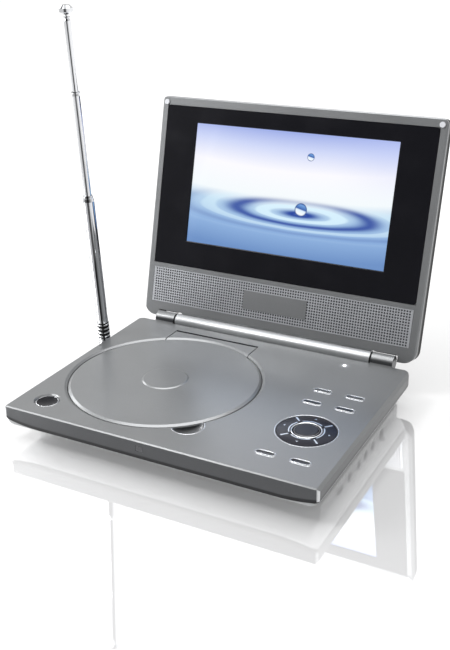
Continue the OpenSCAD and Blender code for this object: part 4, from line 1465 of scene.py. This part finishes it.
@dataclass
class Aerial:
    """The telescopic aerial and the swivel that it turns on."""

    pivot: Point = (-113.0, 41.0, 7.8)
    lean: float = 4.0
    beads: tuple[tuple[str, float, float, float, float], ...] = (
        ("lower", 2.95, 3.53, 121.7, 124.1),
        ("middle", 2.3, 3.0, 194.56, 195.7),
        ("upper", 1.2, 2.2, 241.72, 242.9),
    )
    ring_low: float = 17.2
    ring_pitch: float = 3.0
    ring_half: float = 0.65

    @property
    def turn(self) -> Matrix:
        """The aerial's own frame, with z along the tubes."""
        return at(*self.pivot) @ Matrix.Rotation(math.radians(self.lean), 4, "X")

    def build(self) -> None:
        """Dress the nodes and add the rolled beads at the tubes' ends."""
        Workshop.dress_all(
            {STEEL: "aerial_pin", PLATING: "aerial_tube_1 aerial_tube_2 aerial_tube_3 aerial_rod"}
        )
        Workshop.dress("aerial_socket", INNER, 0.2)
        Workshop.dress("aerial_swivel", PLATING, 0.25)
        Workshop.dress("aerial_knob", PLATING, 0.15)
        self.add_foot_rings()
        for word, inner, outer, low, high in self.beads:
            ease = 0.15 * (high - low)
            profile = [(inner, low), (outer - 0.1, low + ease), (outer, (low + high) / 2)]
            profile += [(outer - 0.1, high - ease), (inner, high)]
            bead = Shape().lathe(profile, 40, True)
            bead.piece(f"bead_{word}", self.turn, PLATING, f"aerial_{word}", 50)

    def add_foot_rings(self) -> None:
        """A dark sleeve on the lowest tube, with bright rings that stand out from it."""
        sleeve = [(3.9, 15.6), (4.18, 15.6), (4.18, 27.6), (3.9, 27.6)]
        Shape().lathe(sleeve, 48, True).piece("foot_sleeve", self.turn, REAR, "aerial_lower")
        for i in range(4):
            mid, half = self.ring_low + self.ring_pitch * i, self.ring_half
            ring = [(4.1, mid - half), (4.42, mid - 0.5), (4.52, mid), (4.42, mid + 0.5), (4.1, mid + half)]
            Shape().lathe(ring, 48, True).piece(f"foot_ring_{i + 1}", self.turn, PLATING, "aerial_lower", 50)


# ----------------------------------------------------------------------- stage


@dataclass(frozen=True)
class SoftLight:
    """A square soft light, with places in metres."""

    name: str
    place: Point
    target: Point
    size: float
    watts: float

    def hang(self) -> None:
        """Put the light in the scene, turned to its target."""
        data = bpy.data.lights.new(self.name, "AREA")
        data.size = self.size
        data.energy = self.watts
        light = bpy.data.objects.new(self.name, data)
        light.location = self.place
        light.rotation_euler = (Vector(self.target) - Vector(self.place)).to_track_quat("-Z", "Y").to_euler()
        bpy.context.scene.collection.objects.link(light)


@dataclass
class Studio:
    """The pale table, the soft lights and the camera."""

    lens: float = 52.85
    camera_place: Point = (0.26945, -0.48365, 0.30924)
    yaw: float = -28.27
    pitch: float = 23.45
    roll: float = -0.95
    sensor: float = 36.0
    floor_half: float = 12.0
    mirror: float = 0.55
    lights: tuple[SoftLight, ...] = (
        SoftLight("overhead", (-0.15, 0.2, 1.5), (-0.15, 0.2, 0.0), 1.3, 17.0),
        SoftLight("left", (-1.1, -0.5, 0.6), (0.0, 0.0, 0.08), 0.6, 8.0),
        SoftLight("left_back", (-1.15, 0.42, 0.75), (0.0, 0.0, 0.02), 0.35, 2.6),
        SoftLight("front_high", (-0.7, -0.64, 1.3), (0.0, -0.05, 0.02), 0.35, 9.0),
    )

    def build(self) -> None:
        """Set up the whole stage."""
        self.add_camera()
        self.add_floor()
        self.add_world()
        for light in self.lights:
            light.hang()
        bpy.context.scene.view_settings.view_transform = "Standard"

    def add_camera(self) -> None:
        """Place the camera from its yaw, pitch and roll."""
        yaw, pitch, roll = (math.radians(a) for a in (self.yaw, self.pitch, self.roll))
        forward = Vector((math.sin(yaw) * math.cos(pitch), math.cos(yaw) * math.cos(pitch), -math.sin(pitch)))
        right = Vector((math.cos(yaw), -math.sin(yaw), 0.0))
        up = right.cross(forward)
        x_axis = math.cos(roll) * right + math.sin(roll) * up
        y_axis = math.cos(roll) * up - math.sin(roll) * right
        data = bpy.data.cameras.new("camera")
        data.lens = self.lens
        data.sensor_width = self.sensor
        data.clip_start = 0.01
        camera = bpy.data.objects.new("camera", data)
        bpy.context.scene.collection.objects.link(camera)
        matrix = Matrix.Identity(4)
        for i in range(3):
            matrix[i][:] = (x_axis[i], y_axis[i], -forward[i], self.camera_place[i])
        camera.matrix_world = matrix
        bpy.context.scene.camera = camera

    def add_floor(self) -> None:
        """A wide pale table top with a soft mirror shine."""
        mesh = bmesh.new()
        bmesh.ops.create_grid(mesh, x_segments=8, y_segments=8, size=self.floor_half)
        data = bpy.data.meshes.new("table_top")
        mesh.to_mesh(data)
        mesh.free()
        kit = NodeKit("table_white")
        cloud = kit.noise(3, 2)
        kit.surface("Base Color", kit.mix(cloud, (0.90, 0.90, 0.905), (0.93, 0.93, 0.935)))
        kit.surface("Roughness", 0.6)
        away = Value(kit, kit.vector("LENGTH", kit.place()).outputs["Value"])
        glow = away.step(0.25, 0.8) * 0.7 + 0.24
        kit.surface("Emission Color", kit.mix(glow, BLACK, FULL))
        kit.surface("Emission Strength", 1.0)
        shine = kit.add("ShaderNodeBsdfGlossy", {}, {"Color": FULL, "Roughness": 0.015}).outputs[0]
        blend = kit.add("ShaderNodeMixShader", {}, {0: self.mirror, 1: kit.shader.outputs[0], 2: shine})
        kit.feed(kit.output.inputs["Surface"], blend.outputs[0])
        data.materials.append(kit.owner)
        floor = bpy.data.objects.new("table_top", data)
        bpy.context.scene.collection.objects.link(floor)

    def add_world(self) -> None:
        """Bright surroundings, darker in front of the player."""
        kit = NodeKit("studio", world=True)
        ahead = kit.add("ShaderNodeTexCoord").outputs["Generated"]
        split = kit.add("ShaderNodeSeparateXYZ", {}, {0: ahead})
        span = {"Value": split.outputs["Y"], "From Min": -0.75, "From Max": 0.35}
        span.update({"To Min": 0.15, "To Max": 0.74})
        ramp = kit.add("ShaderNodeMapRange", {"interpolation_type": "SMOOTHSTEP"}, span)
        kit.surface("Color", FULL)
        kit.surface("Strength", ramp.outputs[0])
        bpy.context.scene.world = kit.owner


def main() -> None:
    """Build the stage, then each sub-assembly in order, logging each one."""
    logging.basicConfig(level=logging.INFO, format="%(message)s")
    for assembly in (Studio(), Base(), DiscDrive(), Keypad(), Lid(), Aerial()):
        LOG.info("building %s", type(assembly).__name__)
        assembly.build()


if __name__ == "__main__":
    main()
